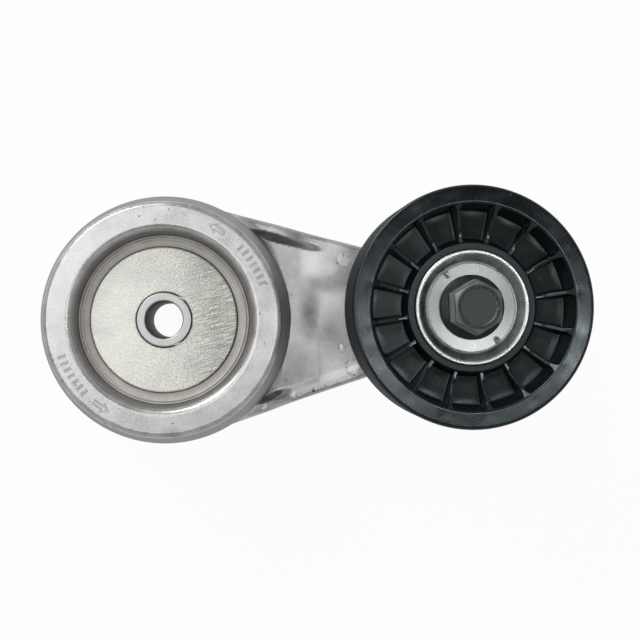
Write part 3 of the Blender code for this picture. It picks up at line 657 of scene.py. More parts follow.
@dataclass(frozen=True)
class ZincPlate(Finish):
    """Zinc-plated pressed steel: granular, with dark specks, and darker greenish streaks that grow towards
    the pulley.
    """

    cool: str = "#dddee2"
    streak_tone: str = "#a4ada4"
    speck: str = "#77766a"
    tint_size: float = 9.0
    tint_span: Span = (0.42, 0.7)  # where a cool patch starts and is strongest
    tint_share: float = 0.6
    speck_size: float = 0.4  # drawn coarser than real grit, which is too fine to show
    speck_span: Span = (0.45, 0.66)  # where a speck starts and is darkest
    speck_share: float = 0.9
    clean: float = 0.45  # share of the specks that the side away from the pulley has
    streak: float = 0.45  # width of a rubbed streak
    streak_length: float = 14.0  # in widths
    streak_lean: float = 13.0  # angle to X
    streak_span: Span = (0.36, 0.64)  # where a streak starts and is darkest
    streak_side_start: float = 2.0
    streak_side_end: float = 16.0

    def detail(self, tree: bpy.types.NodeTree, place: Socket, height: Socket) -> tuple[Layers, Socket]:
        """Adds cool patches, darker streaks and specks.

        Args:
            tree: Node tree of the material.
            place: Object coordinates.
            height: Height of the grain.

        Returns:
            The three tones with their shares, and the height sunk at the specks.
        """
        tinting = {"Vector": place, "Scale": 1 / (self.tint_size * MM), "Detail": 3.0}
        tint = add_node(tree, "TexNoise", tinting).outputs[0]
        low, high = self.tint_span
        patch = add_node(tree, "MapRange", {0: tint, 1: low, 2: high, 4: self.tint_share}).outputs[0]
        x = add_node(tree, "SeparateXYZ", {0: place}).outputs[0]
        band = {0: x, 1: self.streak_side_start * MM, 2: self.streak_side_end * MM}
        side = add_node(tree, "MapRange", band, interpolation_type="SMOOTHSTEP").outputs[0]
        lean = (0.0, 0.0, math.radians(self.streak_lean))
        stretch = {"Vector": place, "Rotation": lean, "Scale": (self.streak_length, 1.0, 1.0)}
        along = add_node(tree, "Mapping", stretch, vector_type="TEXTURE").outputs[0]
        lines = {"Vector": along, "Scale": 1 / (self.streak * MM), "Detail": 4.0, "Roughness": 0.6}
        line = add_node(tree, "TexNoise", lines).outputs[0]
        low, high = self.streak_span
        cut = add_node(tree, "MapRange", {0: line, 1: low, 2: high}).outputs[0]
        streaked = add_node(tree, "Math", {0: side, 1: cut}, operation="MULTIPLY").outputs[0]
        specks = {"Vector": place, "Scale": 1 / (self.speck_size * MM), "Detail": 3.0, "Roughness": 0.7}
        speck = add_node(tree, "TexNoise", specks).outputs[0]
        low, high = self.speck_span
        grit = add_node(tree, "MapRange", {0: speck, 1: low, 2: high, 4: self.speck_share}).outputs[0]
        spread = {0: x, 1: -self.streak_side_end * MM, 2: self.streak_side_end * MM, 3: self.clean, 4: 1.0}
        worst = add_node(tree, "MapRange", spread).outputs[0]
        dot = add_node(tree, "Math", {0: grit, 1: worst}, operation="MULTIPLY").outputs[0]
        sunk = add_node(tree, "Math", {0: dot, 1: -1.0, 2: height}, operation="MULTIPLY_ADD").outputs[0]
        return [(patch, self.cool), (streaked, self.streak_tone), (dot, self.speck)], sunk


@dataclass(frozen=True)
class DustyNylon(Finish):
    """Moulded black glass-filled nylon: satin, with pale dust and a paler hub face, scuffed and with painted
    sheen.
    """

    dust: str = "#8f9296"
    # Tone of the hub face, scuffed and with painted sheen.
    hub_face_tone: str = "#22282a"
    dust_size: float = 0.55  # drawn coarser than real dust, which is too fine to show
    dust_span: Span = (0.73, 0.8)  # where a grain of dust starts and is palest
    dust_share: float = 0.5

    def detail(self, tree: bpy.types.NodeTree, place: Socket, height: Socket) -> tuple[Layers, Socket]:
        """Adds dust specks and the paler hub face, scuffed and with painted sheen.

        Args:
            tree: Node tree of the material.
            place: Object coordinates.
            height: Height of the grain.

        Returns:
            Both tones with their shares, and the height as it was.
        """
        scuff_and_sheen = add_node(tree, "Attribute", attribute_name="scuff_and_sheen").outputs["Fac"]
        specks = {"Vector": place, "Scale": 1 / (self.dust_size * MM), "Detail": 1.0}
        speck = add_node(tree, "TexNoise", specks).outputs[0]
        low, high = self.dust_span
        dot = add_node(tree, "MapRange", {0: speck, 1: low, 2: high, 4: self.dust_share}).outputs[0]
        return [(scuff_and_sheen, self.hub_face_tone), (dot, self.dust)], height


# Die-cast aluminium, tumbled: pale lilac-grey, with a faint orange-peel skin and duller walls, whose darker
# tone is painted shade.
CAST_ALUMINIUM = DieCast(
    "die_cast_aluminium",
    dark="#b3b2b2",
    light="#d7d6d5",
    metallic=0.92,
    rough=(0.26, 0.36),
    mottle=6.0,
    grain=0.8,
    depth=0.026,
    wall="#aeadad",
    wall_rough=0.55,
    edge="#aaaaaa",
)
# Zinc-plated steel plate: pale warm white, matt, with fine dark specks and darker streaks towards the pulley.
ZINC_STEEL = ZincPlate(
    "zinc_plated_plate",
    dark="#efefe2",
    light="#fffff8",
    metallic=0.6,
    rough=(0.32, 0.46),
    mottle=1.0,
    grain=0.5,
    depth=0.03,
)
# Drawn steel tube, faced: cool grey, smoother than the cast arm, with painted shade in its bore.
DRAWN_STEEL = Finish(
    "drawn_steel_tube",
    dark="#b6b6b4",
    light="#d0d0ce",
    metallic=0.8,
    rough=(0.28, 0.4),
    mottle=5.0,
    grain=0.3,
    depth=0.004,
    wall="#2c2f2e",
)
# Acetal thrust washer: taupe moulded plastic with a soft gloss.
THRUST_ACETAL = Finish(
    "moulded_acetal",
    dark="#bcb8b2",
    light="#d2cec8",
    metallic=0.0,
    rough=(0.2, 0.32),
    mottle=6.0,
    grain=0.5,
    depth=0.006,
    ior=1.48,
)
# Black glass-filled nylon of the pulley: bluish black and satin, dull where the belt runs.
GLASS_NYLON = DustyNylon(
    "moulded_glass_nylon",
    dark="#04090b",
    light="#0b1214",
    metallic=0.0,
    rough=(0.11, 0.26),
    mottle=8.0,
    grain=0.5,
    depth=0.004,
    ior=1.53,
    wall="#090d0e",
    wall_rough=0.8,
    edge="#eefbff",
)
# Zinc-nickel pressed dust shield: satin pale steel with a warm tone; its disc carries painted shade, darker
# than its rolled ring.
SHIELD_STEEL = Finish(
    "pressed_shield_steel",
    dark="#aeb4b0",
    light="#ced3cf",
    metallic=1.0,
    rough=(0.24, 0.36),
    mottle=3.0,
    grain=0.3,
    depth=0.006,
    wall="#767b78",
    wall_rough=0.28,
)
# Black oxide bolt: near-black steel with a dull sheen, rubbed paler where a socket grips it, and with painted
# highlight on its flats, chamfer and top face.
BLACK_OXIDE = Finish(
    "black_oxide_bolt_steel",
    dark="#1c2221",
    light="#323a39",
    metallic=0.7,
    rough=(0.34, 0.46),
    mottle=3.0,
    grain=0.3,
    depth=0.006,
    wall="#a6b0ae",
    wall_rough=0.5,
)
# Ground bearing steel: bright and nearly smooth.
BEARING_STEEL = Finish("ground_bearing_steel", "#b9bcc0", "#cfd2d6", 1.0, (0.14, 0.22), 4.0, 0.3, 0.002)
# Shot-peened spring wire: dark grey with a fine dimpled skin.
SPRING_WIRE = Finish("peened_spring_steel", "#3b3d40", "#56585c", 0.9, (0.4, 0.55), 4.0, 0.6, 0.012)
# Oil-filled sintered bronze bush: brown-gold and porous.
SINTERED_BRONZE = Finish("oiled_sintered_bronze", "#7a5a33", "#a07a48", 1.0, (0.42, 0.58), 3.0, 0.4, 0.01)
# Natural nylon damper sleeve: creamy and slightly waxy.
NATURAL_NYLON = Finish("natural_damper_nylon", "#d2cab6", "#e2dbc9", 0.0, (0.38, 0.5), 7.0, 0.5, 0.006, 1.53)
# Nitrile seal lips: matt black rubber.
NITRILE = Finish("nitrile_seal_rubber", "#151517", "#232326", 0.0, (0.55, 0.7), 4.0, 0.4, 0.01, 1.52)
# Ball cage nylon: dark green-grey moulding.
CAGE_NYLON = Finish("moulded_cage_nylon", "#2c332f", "#3d4540", 0.0, (0.4, 0.52), 5.0, 0.4, 0.006, 1.53)


@dataclass(frozen=True)
class RingBlock:
    """A block of a ring about the pivot, such as a stop or a spring seat, with rounded edges."""

    radii: Span
    angles: Span
    heights: Span
    edge: float = 0.5

    def distance(self, x: Array, y: Array, z: Array) -> Array:
        """Measures places against the block.

        Args:
            x: Places along the arm.
            y: Places across it.
            z: Heights.

        Returns:
            Signed distances, negative inside.
        """
        radius = np.hypot(x, y)
        middle = math.radians(sum(self.angles) / 2)
        half = math.radians(self.angles[1] - self.angles[0]) / 2
        off = np.abs(np.angle(np.exp(1j * (np.arctan2(y, x) - middle)))) - half
        block = common(slab(self.radii, radius), off * np.maximum(radius, 1.0), self.edge)
        return common(block, slab(self.heights, z), self.edge)


@dataclass
class BaseUnit:
    """Fixed side: base casting, pivot tube, end plate, locating pin, thrust washer and torsion spring."""

    bore: float = 5.8
    tube: float = 8.45
    tube_top: float = 43.15
    plate: Span = (8.75, 22.7)
    plate_heights: Span = (39.35, 42.35)
    nicks: tuple[int, ...] = (17, 29, 41, 53, 67)  # waves round the end plate's nicked rim
    flange: float = 39.6
    case: Span = (28.5, 31.5)
    case_top: float = 30.95
    floor: Span = (2.0, 6.5)
    boss: float = 17.75
    ribs: int = 6
    rib_start: float = 15.0  # angle of the first rib
    rib_width: float = 3.0
    rib_reach: Span = (16.0, 38.0)
    rib_heights: Span = (0.8, 3.2)
    pin: Place = (25.0, 150.0)  # distance from the pivot, and angle
    pin_radius: float = 4.0
    pin_boss: float = 7.0
    pin_boss_heights: Span = (0.0, 3.2)
    seat: RingBlock = RingBlock((21.4, 30.0), (61.2, 81.2), (5.5, 11.1))
    stops: tuple[RingBlock, ...] = (
        RingBlock((30.0, 35.3), (154.5, 170.5), (22.95, 29.95)),
        RingBlock((30.0, 35.3), (227.5, 243.5), (22.95, 29.95)),
    )
    pitch: float = 0.8  # cell of the casting's mesh
    spring_radius: float = 24.0
    spring_wire: float = 5.2
    spring_pitch: float = 5.9
    spring_turns: float = 3.5
    spring_start: float = 60.0
    spring_low: float = 9.4

    @property
    def pin_place(self) -> Place:
        """Place of the locating pin's axis."""
        angle = math.radians(self.pin[1])
        return self.pin[0] * math.cos(angle), self.pin[0] * math.sin(angle)

    def casting(self) -> Shape:
        """Makes the base casting: flange, spring case, mounting boss, ribs, pin boss, spring seat and stops.

        Returns:
            The casting.
        """
        low, top = self.floor
        case_in, case_out = self.case
        inner = self.plate[0]
        body = TurnedField(
            [
                Corner(inner, 0.0, 0.5),
                Corner(self.boss, 0.0, 0.7),
                Corner(self.boss - 0.3, low, 1.2),
                Corner(self.flange, low, 1.0),
                Corner(self.flange, top, 1.0),
                Corner(case_out, top, 1.2),
                Corner(case_out, self.case_top, 0.6),
                Corner(case_in, self.case_top, 0.6),
                Corner(case_in, top, 1.0),
                Corner(inner, top, 0.4),
            ]
        )
        pin_x, pin_y = self.pin_place

        def solid(x: Array, y: Array, z: Array) -> Array:
            """Measures places against the casting.

            Args:
                x: Places along the arm.
                y: Places across it.
                z: Heights.

            Returns:
                Signed distances, negative inside.
            """
            made = body(np.hypot(x, y), z)
            for i in range(self.ribs):
                turn = math.radians(self.rib_start + 360.0 / self.ribs * i)
                along = x * math.cos(turn) + y * math.sin(turn)
                aside = np.abs(y * math.cos(turn) - x * math.sin(turn)) - self.rib_width / 2
                bar = common(aside, slab(self.rib_reach, along), 0.7)
                made = joined(made, common(bar, slab(self.rib_heights, z), 0.7), 0.9)
            off_pin = np.hypot(x - pin_x, y - pin_y)
            made = joined(made, common(off_pin - self.pin_boss, slab(self.pin_boss_heights, z), 0.5), 0.9)
            made = without(made, off_pin - self.pin_radius, 0.3)
            for block in (self.seat, *self.stops):
                made = np.minimum(made, block.distance(x, y, z))
            return made

        edge = self.flange + 1.0
        lowest, highest = (-edge, -edge, -1.0), (edge, edge, self.case_top + 1.0)
        return SurfaceNet(solid, lowest, highest, self.pitch).shape()

    def end_plate(self) -> Shape:
        """Makes the riveted end plate, its sheared rim nicked on the side that faces the pulley.

        Returns:
            The plate.
        """
        inner, outer = self.plate
        low, top = self.plate_heights
        profile = rounded(
            [
                Corner(inner, low, 0.2),
                Corner(outer, low, 0.4),
                Corner(outer, top, 0.45),
                Corner(inner, top, 0.35),
            ],
            longest=1.0,
        )
        shape = turned(profile, 360)
        draw = np.random.default_rng(11)
        angle = np.arctan2(shape.points[:, 1], shape.points[:, 0])
        radius = np.hypot(shape.points[:, 0], shape.points[:, 1])
        ragged = sum(
            draw.uniform(0.3, 1.0) * np.sin(n * angle + draw.uniform(0, 6.28)) / math.sqrt(n)
            for n in self.nicks
        )
        facing = 0.25 + 0.75 * eased(0.2, 0.9, np.cos(angle))
        rim = eased(outer - 1.2, outer - 0.2, radius)
        shrink = 1.0 - rim * facing * np.clip(0.07 + 0.13 * ragged, 0.0, 0.4) / outer
        shape.points[:, :2] *= shrink[:, None]
        return shape

    def tube_shape(self) -> Shape:
        """Makes the pivot tube with a chamfered mouth.

        Returns:
            The tube, its bore marked for the painted shade.
        """
        shape = turned(
            rounded(
                [
                    Corner(self.bore, 0.0, 0.4),
                    Corner(self.tube, 0.0, 0.3),
                    Corner(self.tube, self.tube_top, 0.35),
                    Corner(self.bore, self.tube_top, 0.5),
                ],
                longest=4.0,
            ),
            144,
        )
        radius = np.hypot(shape.points[:, 0], shape.points[:, 1])
        # Painted shade: the bore is darkened.
        shape.marks = {"skin_wear_and_painted_light": 1.0 - eased(self.bore, self.bore + 0.3, radius)}
        return shape

    def washer(self) -> Shape:
        """Makes the thrust washer: a flat ring whose raised lip ends in two thin beads.

        Returns:
            The washer.
        """
        return turned(
            rounded(
                [
                    Corner(8.75, 37.25, 0.2),
                    Corner(26.42, 37.25, 0.3),
                    Corner(26.42, 41.6, 0.15),
                    Corner(26.1, 41.6, 0.15),
                    Corner(25.95, 41.15, 0.1),
                    Corner(25.75, 41.15, 0.1),
                    Corner(25.6, 41.75, 0.2),
                    Corner(25.15, 41.75, 0.2),
                    Corner(24.85, 41.0, 0.4),
                    Corner(23.0, 40.9, 0.3),
                    Corner(22.9, 39.05, 0.3),
                    Corner(8.75, 39.05, 0.2),
                ]
            ),
            288,
        )

    def locating_pin(self) -> Shape:
        """Makes the pressed locating pin with a chamfered end.

        Returns:
            The pin.
        """
        end = [(0.4, -7.0), (3.0, -7.0), (3.3, -6.9), (self.pin_radius, -6.0)]
        top = [(self.pin_radius, 5.9), (3.7, 6.2), (0.4, 6.2)]
        return turned(np.array(end + top), 72, self.pin_place, capped=True)

    def spring(self) -> Shape:
        """Makes the torsion spring: round wire along a flat-ended helix that climbs clockwise.

        Returns:
            The spring.
        """
        per_turn, around = 96, 24
        count = round(self.spring_turns * per_turn)
        turn = np.arange(count + 1)[:, None] / per_turn
        angle = math.radians(self.spring_start) - 2 * math.pi * turn
        twist = np.arange(around)[None, :] * (2 * math.pi / around)
        half = self.spring_wire / 2 - 0.02  # drawn a little thin, so that it stays clear of its seats
        radius = self.spring_radius + half * np.cos(twist)
        height = self.spring_low + self.spring_pitch * turn + half * np.sin(twist)
        points = np.stack([radius * np.cos(angle), radius * np.sin(angle), height], axis=-1).reshape(-1, 3)
        faces = grid_faces(count + 1, around, closed=False)
        faces.append(list(range(around))[::-1])
        faces.append(list(range(len(points) - around, len(points))))
        return Shape(points, faces)

    def build(self) -> None:
        """Builds and dresses the pieces of the fixed side."""
        casting = self.casting()
        casting.marks = {"skin_wear_and_painted_light": np.full(len(casting.points), 0.35), "trim": np.zeros(len(casting.points))}
        casting.piece("base_casting_cast", Body.BASE, Slot.CAST, CAST_ALUMINIUM, ["base_casting"])
        self.tube_shape().piece("pivot_tube_drawn", Body.BASE, Slot.BRIGHT, DRAWN_STEEL, ["pivot_tube"])
        self.end_plate().piece("end_plate_pressed", Body.BASE, Slot.ZINC, ZINC_STEEL, ["end_plate"])
        self.washer().piece("thrust_washer_moulded", Body.BASE, Slot.WASHER, THRUST_ACETAL, ["thrust_washer"])
        self.locating_pin().piece(
            "locating_pin_ground", Body.BASE, Slot.BRIGHT, DRAWN_STEEL, ["locating_pin"]
        )
        half = self.spring_wire / 2
        ends = self.spring_low + half, self.spring_low + self.spring_pitch * self.spring_turns - half
        wound = Twist(Body.ARM, *ends)
        self.spring().piece(
            "torsion_spring_wire", Body.BASE, Slot.SPRING, SPRING_WIRE, ["torsion_spring"], twist=wound
        )


@dataclass
class SwingArm:
    """Moving arm: casting with its raised marks, both dust shields and the pulley bolt."""

    crown: float = 50.45
    skirt: float = 40.0
    skirt_low: float = 7.1
    cavity: float = 35.6
    web_wide: float = 39.0
    web_narrow: float = 12.2
    web_low: float = 14.0
    web_start: float = 37.8  # distance from the pivot where the web starts
    web_joint: float = 36.4  # and where its fillet may start
    web_skin: float = 20.5  # underside of the web between its ribs
    panel: float = 24.0  # top of the web beside the cup
    panel_rise: float = 1.6  # how much higher it ends beside the pulley
    ramp_start: float = 49.0
    ramp_lead: float = 5.0  # how much nearer to the pivot it starts to rise on the +Y side
    rib_width: float = 4.0
    rib_rise: float = 4.0  # how far the edge ribs stand over the panel at the cup
    rib_fall: float = 3.7  # how much of that they lose towards the pulley
    keel: tuple[Span, Span, Span] = ((37.8, 89.4), (-2.0, 2.0), (15.0, 21.4))  # stiffener under the web
    bolt_hole: float = 5.3
    seat: RingBlock = RingBlock((21.4, 26.6), (219.0, 239.0), (28.35, 34.0))
    lug: RingBlock = RingBlock((31.8, 36.5), (171.0, 189.0), (22.95, 30.95))
    pitch: float = 0.6  # cell of the casting's mesh
    mark_radius: float = 32.4
    mark_height: float = 0.4
    arrow_angles: tuple[float, ...] = (57.4, 232.7)
    tick_starts: tuple[float, ...] = (18.0, 198.0)
    tick_step: float = 3.8
    ticks: int = 7
    stakes: tuple[float, ...] = (124.8, 306.0)  # angles where the front shield is staked
    stake_radius: float = 13.4
    stake_depth: float = 0.4
    hex_half: float = 7.5  # half of the hexagon's width across flats
    head: Span = (50.5, 59.4)
    head_chamfer: float = 6.6  # radius where the chamfer starts
    chamfer_slope: float = 0.577  # tangent of the chamfer's 30 degrees
    chamfer_lean: float = 0.866  # and their cosine
    head_recess: Place = (5.85, 58.7)  # radius and floor
    bolt_pitch: float = 0.35  # cell of the bolt's mesh

    # Place, reach (towards the pivot, towards the pulley, across) and rise of the web panel's shallow waves.
    swells: tuple[tuple[Place, Triple, float], ...] = (
        ((50.5, 16.0), (3.6, 20.0, 7.0), 0.3),
        ((37.0, -17.0), (7.0, 7.0, 6.0), 0.5),
    )

    # Place, reach and strength of the patches of painted shade on the web.
    shade_patches: tuple[tuple[Place, Place, float], ...] = (
        ((47.0, -0.5), (3.6, 9.5), 0.95),
        ((43.5, -17.0), (8.0, 6.5), 0.75),
        ((53.5, -6.5), (6.5, 8.0), 0.7),
        ((43.0, 0.0), (10.0, 30.0), 0.15),
    )

    # Place and reach of the torn flash on the web.
    flash: tuple[tuple[Place, float], ...] = (
        ((58.6, 17.5), 5.0),
        ((57.0, -11.5), 3.0),
        ((61.0, -18.0), 6.0),
    )

    def cup(self) -> TurnedField:
        """Makes the distance to the cup with its dish, skirt, hollow and hub.

        Returns:
            The cup about the pivot axis.
        """
        return TurnedField(
            [
                Corner(27.4, self.crown, 2.2),
                Corner(35.1, self.crown, 0.9),
                Corner(36.4, 49.35, 0.9),
                Corner(self.skirt, 29.5, 4.0),
                Corner(self.skirt, self.skirt_low, 0.7),
                Corner(self.cavity, self.skirt_low, 0.5),
                Corner(self.cavity, 45.95, 1.4),
                Corner(31.0, 45.95, 1.2),
                Corner(31.0, 32.95, 1.2),
                Corner(14.5, 32.95, 1.2),
                Corner(14.5, self.skirt_low, 0.5),
                Corner(10.6, self.skirt_low, 0.5),
                Corner(10.6, 36.95, 0.4),
                Corner(26.5, 36.95, 0.5),
                Corner(26.5, 41.0, 1.5),
            ]
        )

    def boss(self) -> TurnedField:
        """Makes the distance to the boss that carries the bearing.

        Returns:
            The boss about the pulley axis.
        """
        return TurnedField(
            [
                Corner(self.bolt_hole, 13.0, 0.5),
                Corner(13.2, 13.0, 0.8),
                Corner(13.2, 27.0, 0.8),
                Corner(10.5, 27.0, 1.5),
                Corner(10.5, 33.6, 0.5),
                Corner(7.2, 33.6, 0.3),
                Corner(7.2, 46.5, 0.4),
                Corner(self.bolt_hole, 46.5, 0.3),
            ]
        )

    def outline(self, x: Array, y: Array) -> Array:
        """Measures places against the web's outline, the hull of a circle at the pivot and one at the pulley.

        Args:
            x: Places along the arm.
            y: Places across it.

        Returns:
            Signed distances, negative inside.
        """
        wide, narrow, length = self.web_wide, self.web_narrow, WHEEL[0]
        lean = (wide - narrow) / length
        rise = math.sqrt(1 - lean * lean)
        aside = np.abs(y)
        along = rise * x - lean * aside
        flank = rise * aside + lean * x - wide
        ends = np.where(along < 0, np.hypot(x, y) - wide, np.hypot(x - length, y) - narrow)
        return np.where((along < 0) | (along > rise * length), ends, flank)

    def web_top(self, x: Array, y: Array, edge: Array) -> Array:
        """Finds the top of the web: a waved panel between edge ribs that fade towards the pulley.

        Args:
            x: Places along the arm.
            y: Places across it.
            edge: Distances to the web's outline.

        Returns:
            Heights.
        """
        ramp = np.maximum(x - self.ramp_start + self.ramp_lead * eased(6.0, 14.0, y), 0.0)
        panel = self.panel + self.panel_rise * np.tanh(0.08 * ramp * ramp / (ramp + 2.0))
        fall = np.where(y > 0, eased(36.0, 54.0, x), eased(30.0, 41.0, x))
        rib = panel + self.rib_rise - self.rib_fall * fall
        for place, reach, rise in self.swells:
            near = np.where(x < place[0], reach[0], reach[1])
            off = ((x - place[0]) / near) ** 2 + ((y - place[1]) / reach[2]) ** 2
            panel = panel + rise * np.exp(-off)
        return rib + (panel - rib) * eased(2.8, 5.6, -edge)

    def web(self, x: Array, y: Array, z: Array) -> Array:
        """Measures places against the web, hollow underneath and stiffened by a keel.

        Args:
            x: Places along the arm.
            y: Places across it.
            z: Heights.

        Returns:
            Signed distances, negative inside.
        """
        edge = self.outline(x, y)
        made = common(common(edge, z - self.web_top(x, y, edge), 1.3), self.web_low - z, 1.0)
        made = without(made, common(edge + self.rib_width, z - self.web_skin, 1.5), 0.6)
        made = np.maximum(made, self.web_start - np.hypot(x, y))
        along, across, upright = (slab(span, value) for span, value in zip(self.keel, (x, y, z)))
        return joined(made, np.maximum(np.maximum(across, upright), along), 1.2)

    def solid(self) -> Field:
        """Makes the distance field of the whole casting.

        Returns:
            The field.
        """
        cup, boss = self.cup(), self.boss()

        def distance(x: Array, y: Array, z: Array) -> Array:
            """Measures places against the casting.

            Args:
                x: Places along the arm.
                y: Places across it.
                z: Heights.

            Returns:
                Signed distances, negative inside.
            """
            radius = np.hypot(x, y)
            off_wheel = np.hypot(x - WHEEL[0], y)
            body = cup(radius, z)
            fillet = (0.8 + 1.8 * eased(12.0, 27.0, np.abs(y))) * eased(16.0, 31.0, x) + 0.02
            body = np.where(radius < self.web_joint, body, joined(body, self.web(x, y, z), fillet))
            bored = without(joined(body, boss(off_wheel, z), 1.8), off_wheel - self.bolt_hole, 0.3)
            return np.minimum(bored, np.minimum(self.seat.distance(x, y, z), self.lug.distance(x, y, z)))

        return distance

    def casting(self) -> Shape:
        """Makes the arm casting.

        Returns:
            The casting, with the marks that its finish reads.
        """
        edge = self.skirt + 1.5
        net = SurfaceNet(self.solid(), (-edge, -edge, 6.0), (111.0, edge, 52.0), self.pitch)
        shape = net.shape()
        x, y, z = shape.points.T
        radius = np.hypot(x, y)
        # Upright faces take the wall tone: a rougher as-cast skin, and a darker tone that is painted shade;
        # the dish walls get less of it and the web panel a little more.
        upright = 1.0 - eased(0.2, 0.75, shape.normals[:, 2])
        dish = (radius < 31.0) & (z > 37.0)
        panel = (radius > 39.0) & (z < 28.5)
        upright = np.where(dish, 0.7 * upright, np.where(panel, 0.1 + 0.9 * upright, upright))
        trim = np.zeros(len(x))
        for place, reach in self.flash:
            off = np.hypot(x - place[0], y - place[1])
            trim = np.maximum(trim, 0.9 - 0.9 * eased(0.1, 1.0, off / reach))
        flank = -self.outline(x, y)
        along_rib = eased(27.0, 32.0, x) * (1.0 - eased(50.0, 58.0, x)) * (y < 0)
        trim = np.maximum(trim, 0.55 * along_rib * (1.0 - eased(0.3, 1.8, np.abs(flank - 1.6))))
        trim = trim * (z > 22.0) * (radius > 38.0)
        # Painted shade on the web panel, in soft patches.
        painted_shade = np.zeros(len(x))
        for place, reach, share in self.shade_patches:
            off = np.hypot((x - place[0]) / reach[0], (y - place[1]) / reach[1])
            painted_shade = np.maximum(painted_shade, share * np.exp(-off * off) * panel)
        shape.marks = {"skin_wear_and_painted_light": upright, "trim": trim, "painted_shade": painted_shade}
        return shape

    def raised(self, outline: Array, angle: float) -> Shape:
        """Raises the outline of a mark on the crown.

        Args:
            outline: Anticlockwise loop of (outwards, anticlockwise) places from the middle of the mark.
            angle: Angle of the mark's middle.

        Returns:
            The mark as a closed bead with bevelled sides, let into the crown.
        """
        before, after = outline - np.roll(outline, 1, axis=0), np.roll(outline, -1, axis=0) - outline
        before, after = (v / np.hypot(*v.T)[:, None] for v in (before, after))
        inward = np.stack([-(before + after)[:, 1], (before + after)[:, 0]], axis=1)
        inward /= 1.0 + (before * after).sum(axis=1)[:, None]
        high = self.mark_height
        rows = [(0.0, -0.3), (0.0, 0.5 * high), (0.1, high), (0.34, high), (0.44, 0.5 * high), (0.44, -0.3)]
        turn = math.radians(angle)
        loops = []
        for inset, height in rows:
            out, along = (outline + inward * inset).T
            bend = turn + along / self.mark_radius
            reach = self.mark_radius + out
            tops = np.full(len(outline), self.crown + height)
            loops.append(np.stack([reach * np.cos(bend), reach * np.sin(bend), tops], axis=1))
        points = np.concatenate(loops)
        count = len(outline)
        # The sides of each mark get the darker wall tone and painted shade, so that the low mark shows.
        skin_wear_and_painted_light = np.repeat([1.0, 1.0, 0.0, 0.0, 1.0, 1.0], count)
        marks = {"skin_wear_and_painted_light": skin_wear_and_painted_light, "painted_shade": 0.8 * skin_wear_and_painted_light, "trim": np.zeros(len(points))}
        return Shape(points, grid_faces(len(rows), count), marks=marks)

    def raised_marks(self) -> None:
        """Adds the cast direction arrows and plain travel ticks on the crown."""
        arrow = np.array(
            [(-0.8, -2.8), (0.8, -2.8), (0.8, 0.1), (1.75, 0.1), (0.0, 2.8), (-1.75, 0.1), (-0.8, 0.1)]
        )
        tick = np.array([(-1.2, -0.5), (1.2, -0.5), (1.2, 0.5), (-1.2, 0.5)])
        for i, angle in enumerate(self.arrow_angles):
            self.raised(arrow, angle).piece(f"cast_arrow_{i + 1}", Body.ARM, Slot.CAST, CAST_ALUMINIUM)
        for side, start in enumerate(self.tick_starts):
            for i in range(self.ticks):
                mark = self.raised(tick, start + self.tick_step * i)
                mark.piece(f"cast_tick_{side + 1}_{i + 1}", Body.ARM, Slot.CAST, CAST_ALUMINIUM)

    def front_shield(self) -> Shape:
        """Makes the front dust shield: a flat disc, a groove and a rolled outer ring, staked at two places.

        Returns:
            The shield, its disc marked for painted shade that is darkest at its left and right sides.
        """
        profile = rounded(
            [
                Corner(self.bolt_hole, 47.8, 0.2),
                Corner(18.05, 47.8, 0.2),
                Corner(18.05, 50.8, 0.25),
                Corner(17.75, 51.05, 0.3),
                Corner(16.9, 51.0, 0.9),
                Corner(14.4, 48.75, 0.5),
                Corner(14.1, 48.7, 0.1),
                Corner(13.95, 49.1, 0.15),
                Corner(self.bolt_hole, 49.1, 0.2),
            ],
            longest=0.8,
        )
        shape = turned(profile, 288, WHEEL)
        x, y, z = shape.points.T
        for angle in self.stakes:
            turn = math.radians(angle)
            stake_x = WHEEL[0] + self.stake_radius * math.cos(turn)
            off = np.hypot(x - stake_x, y - self.stake_radius * math.sin(turn))
            shape.points[:, 2] -= self.stake_depth * (1.0 - eased(0.2, 1.0, off)) * (z > 48.7) * (z < 49.3)
        # Painted shade on the disc, darkest towards its left and right sides.
        aside = np.cos(np.arctan2(y, x - WHEEL[0])) ** 2
        disc = 1.0 - eased(13.9, 14.3, np.hypot(x - WHEEL[0], y))
        shape.marks = {"skin_wear_and_painted_light": disc * (0.5 + 0.5 * aside)}
        return shape

    @staticmethod
    def rear_shield() -> Shape:
        """Makes the rear dust shield: a disc with a turned-up collar that stands on the bearing.

        Returns:
            The shield.
        """
        profile = rounded(
            [
                Corner(7.5, 33.9, 0.3),
                Corner(18.5, 33.9, 0.35),
                Corner(18.5, 34.9, 0.35),
                Corner(9.8, 34.9, 0.5),
                Corner(9.8, 36.2, 0.3),
                Corner(7.5, 36.2, 0.3),
            ]
        )
        return turned(profile, 192, WHEEL)

    def bolt(self) -> Shape:
        """Makes the flanged hexagon bolt with a chamfered, recessed head.

        Returns:
            The bolt, marked where a socket rubs its flats, and for painted highlight on the flats, the
            chamfer and the top face.
        """
        flange = TurnedField(
            [
                Corner(0.0, 15.0),
                Corner(5.0, 15.0, 0.6),
                Corner(5.0, 49.4, 0.2),
                Corner(10.2, 49.4, 0.4),
                Corner(10.2, 50.5, 0.45),
                Corner(8.0, 51.3, 0.5),
                Corner(0.0, 51.3),
            ]
        )

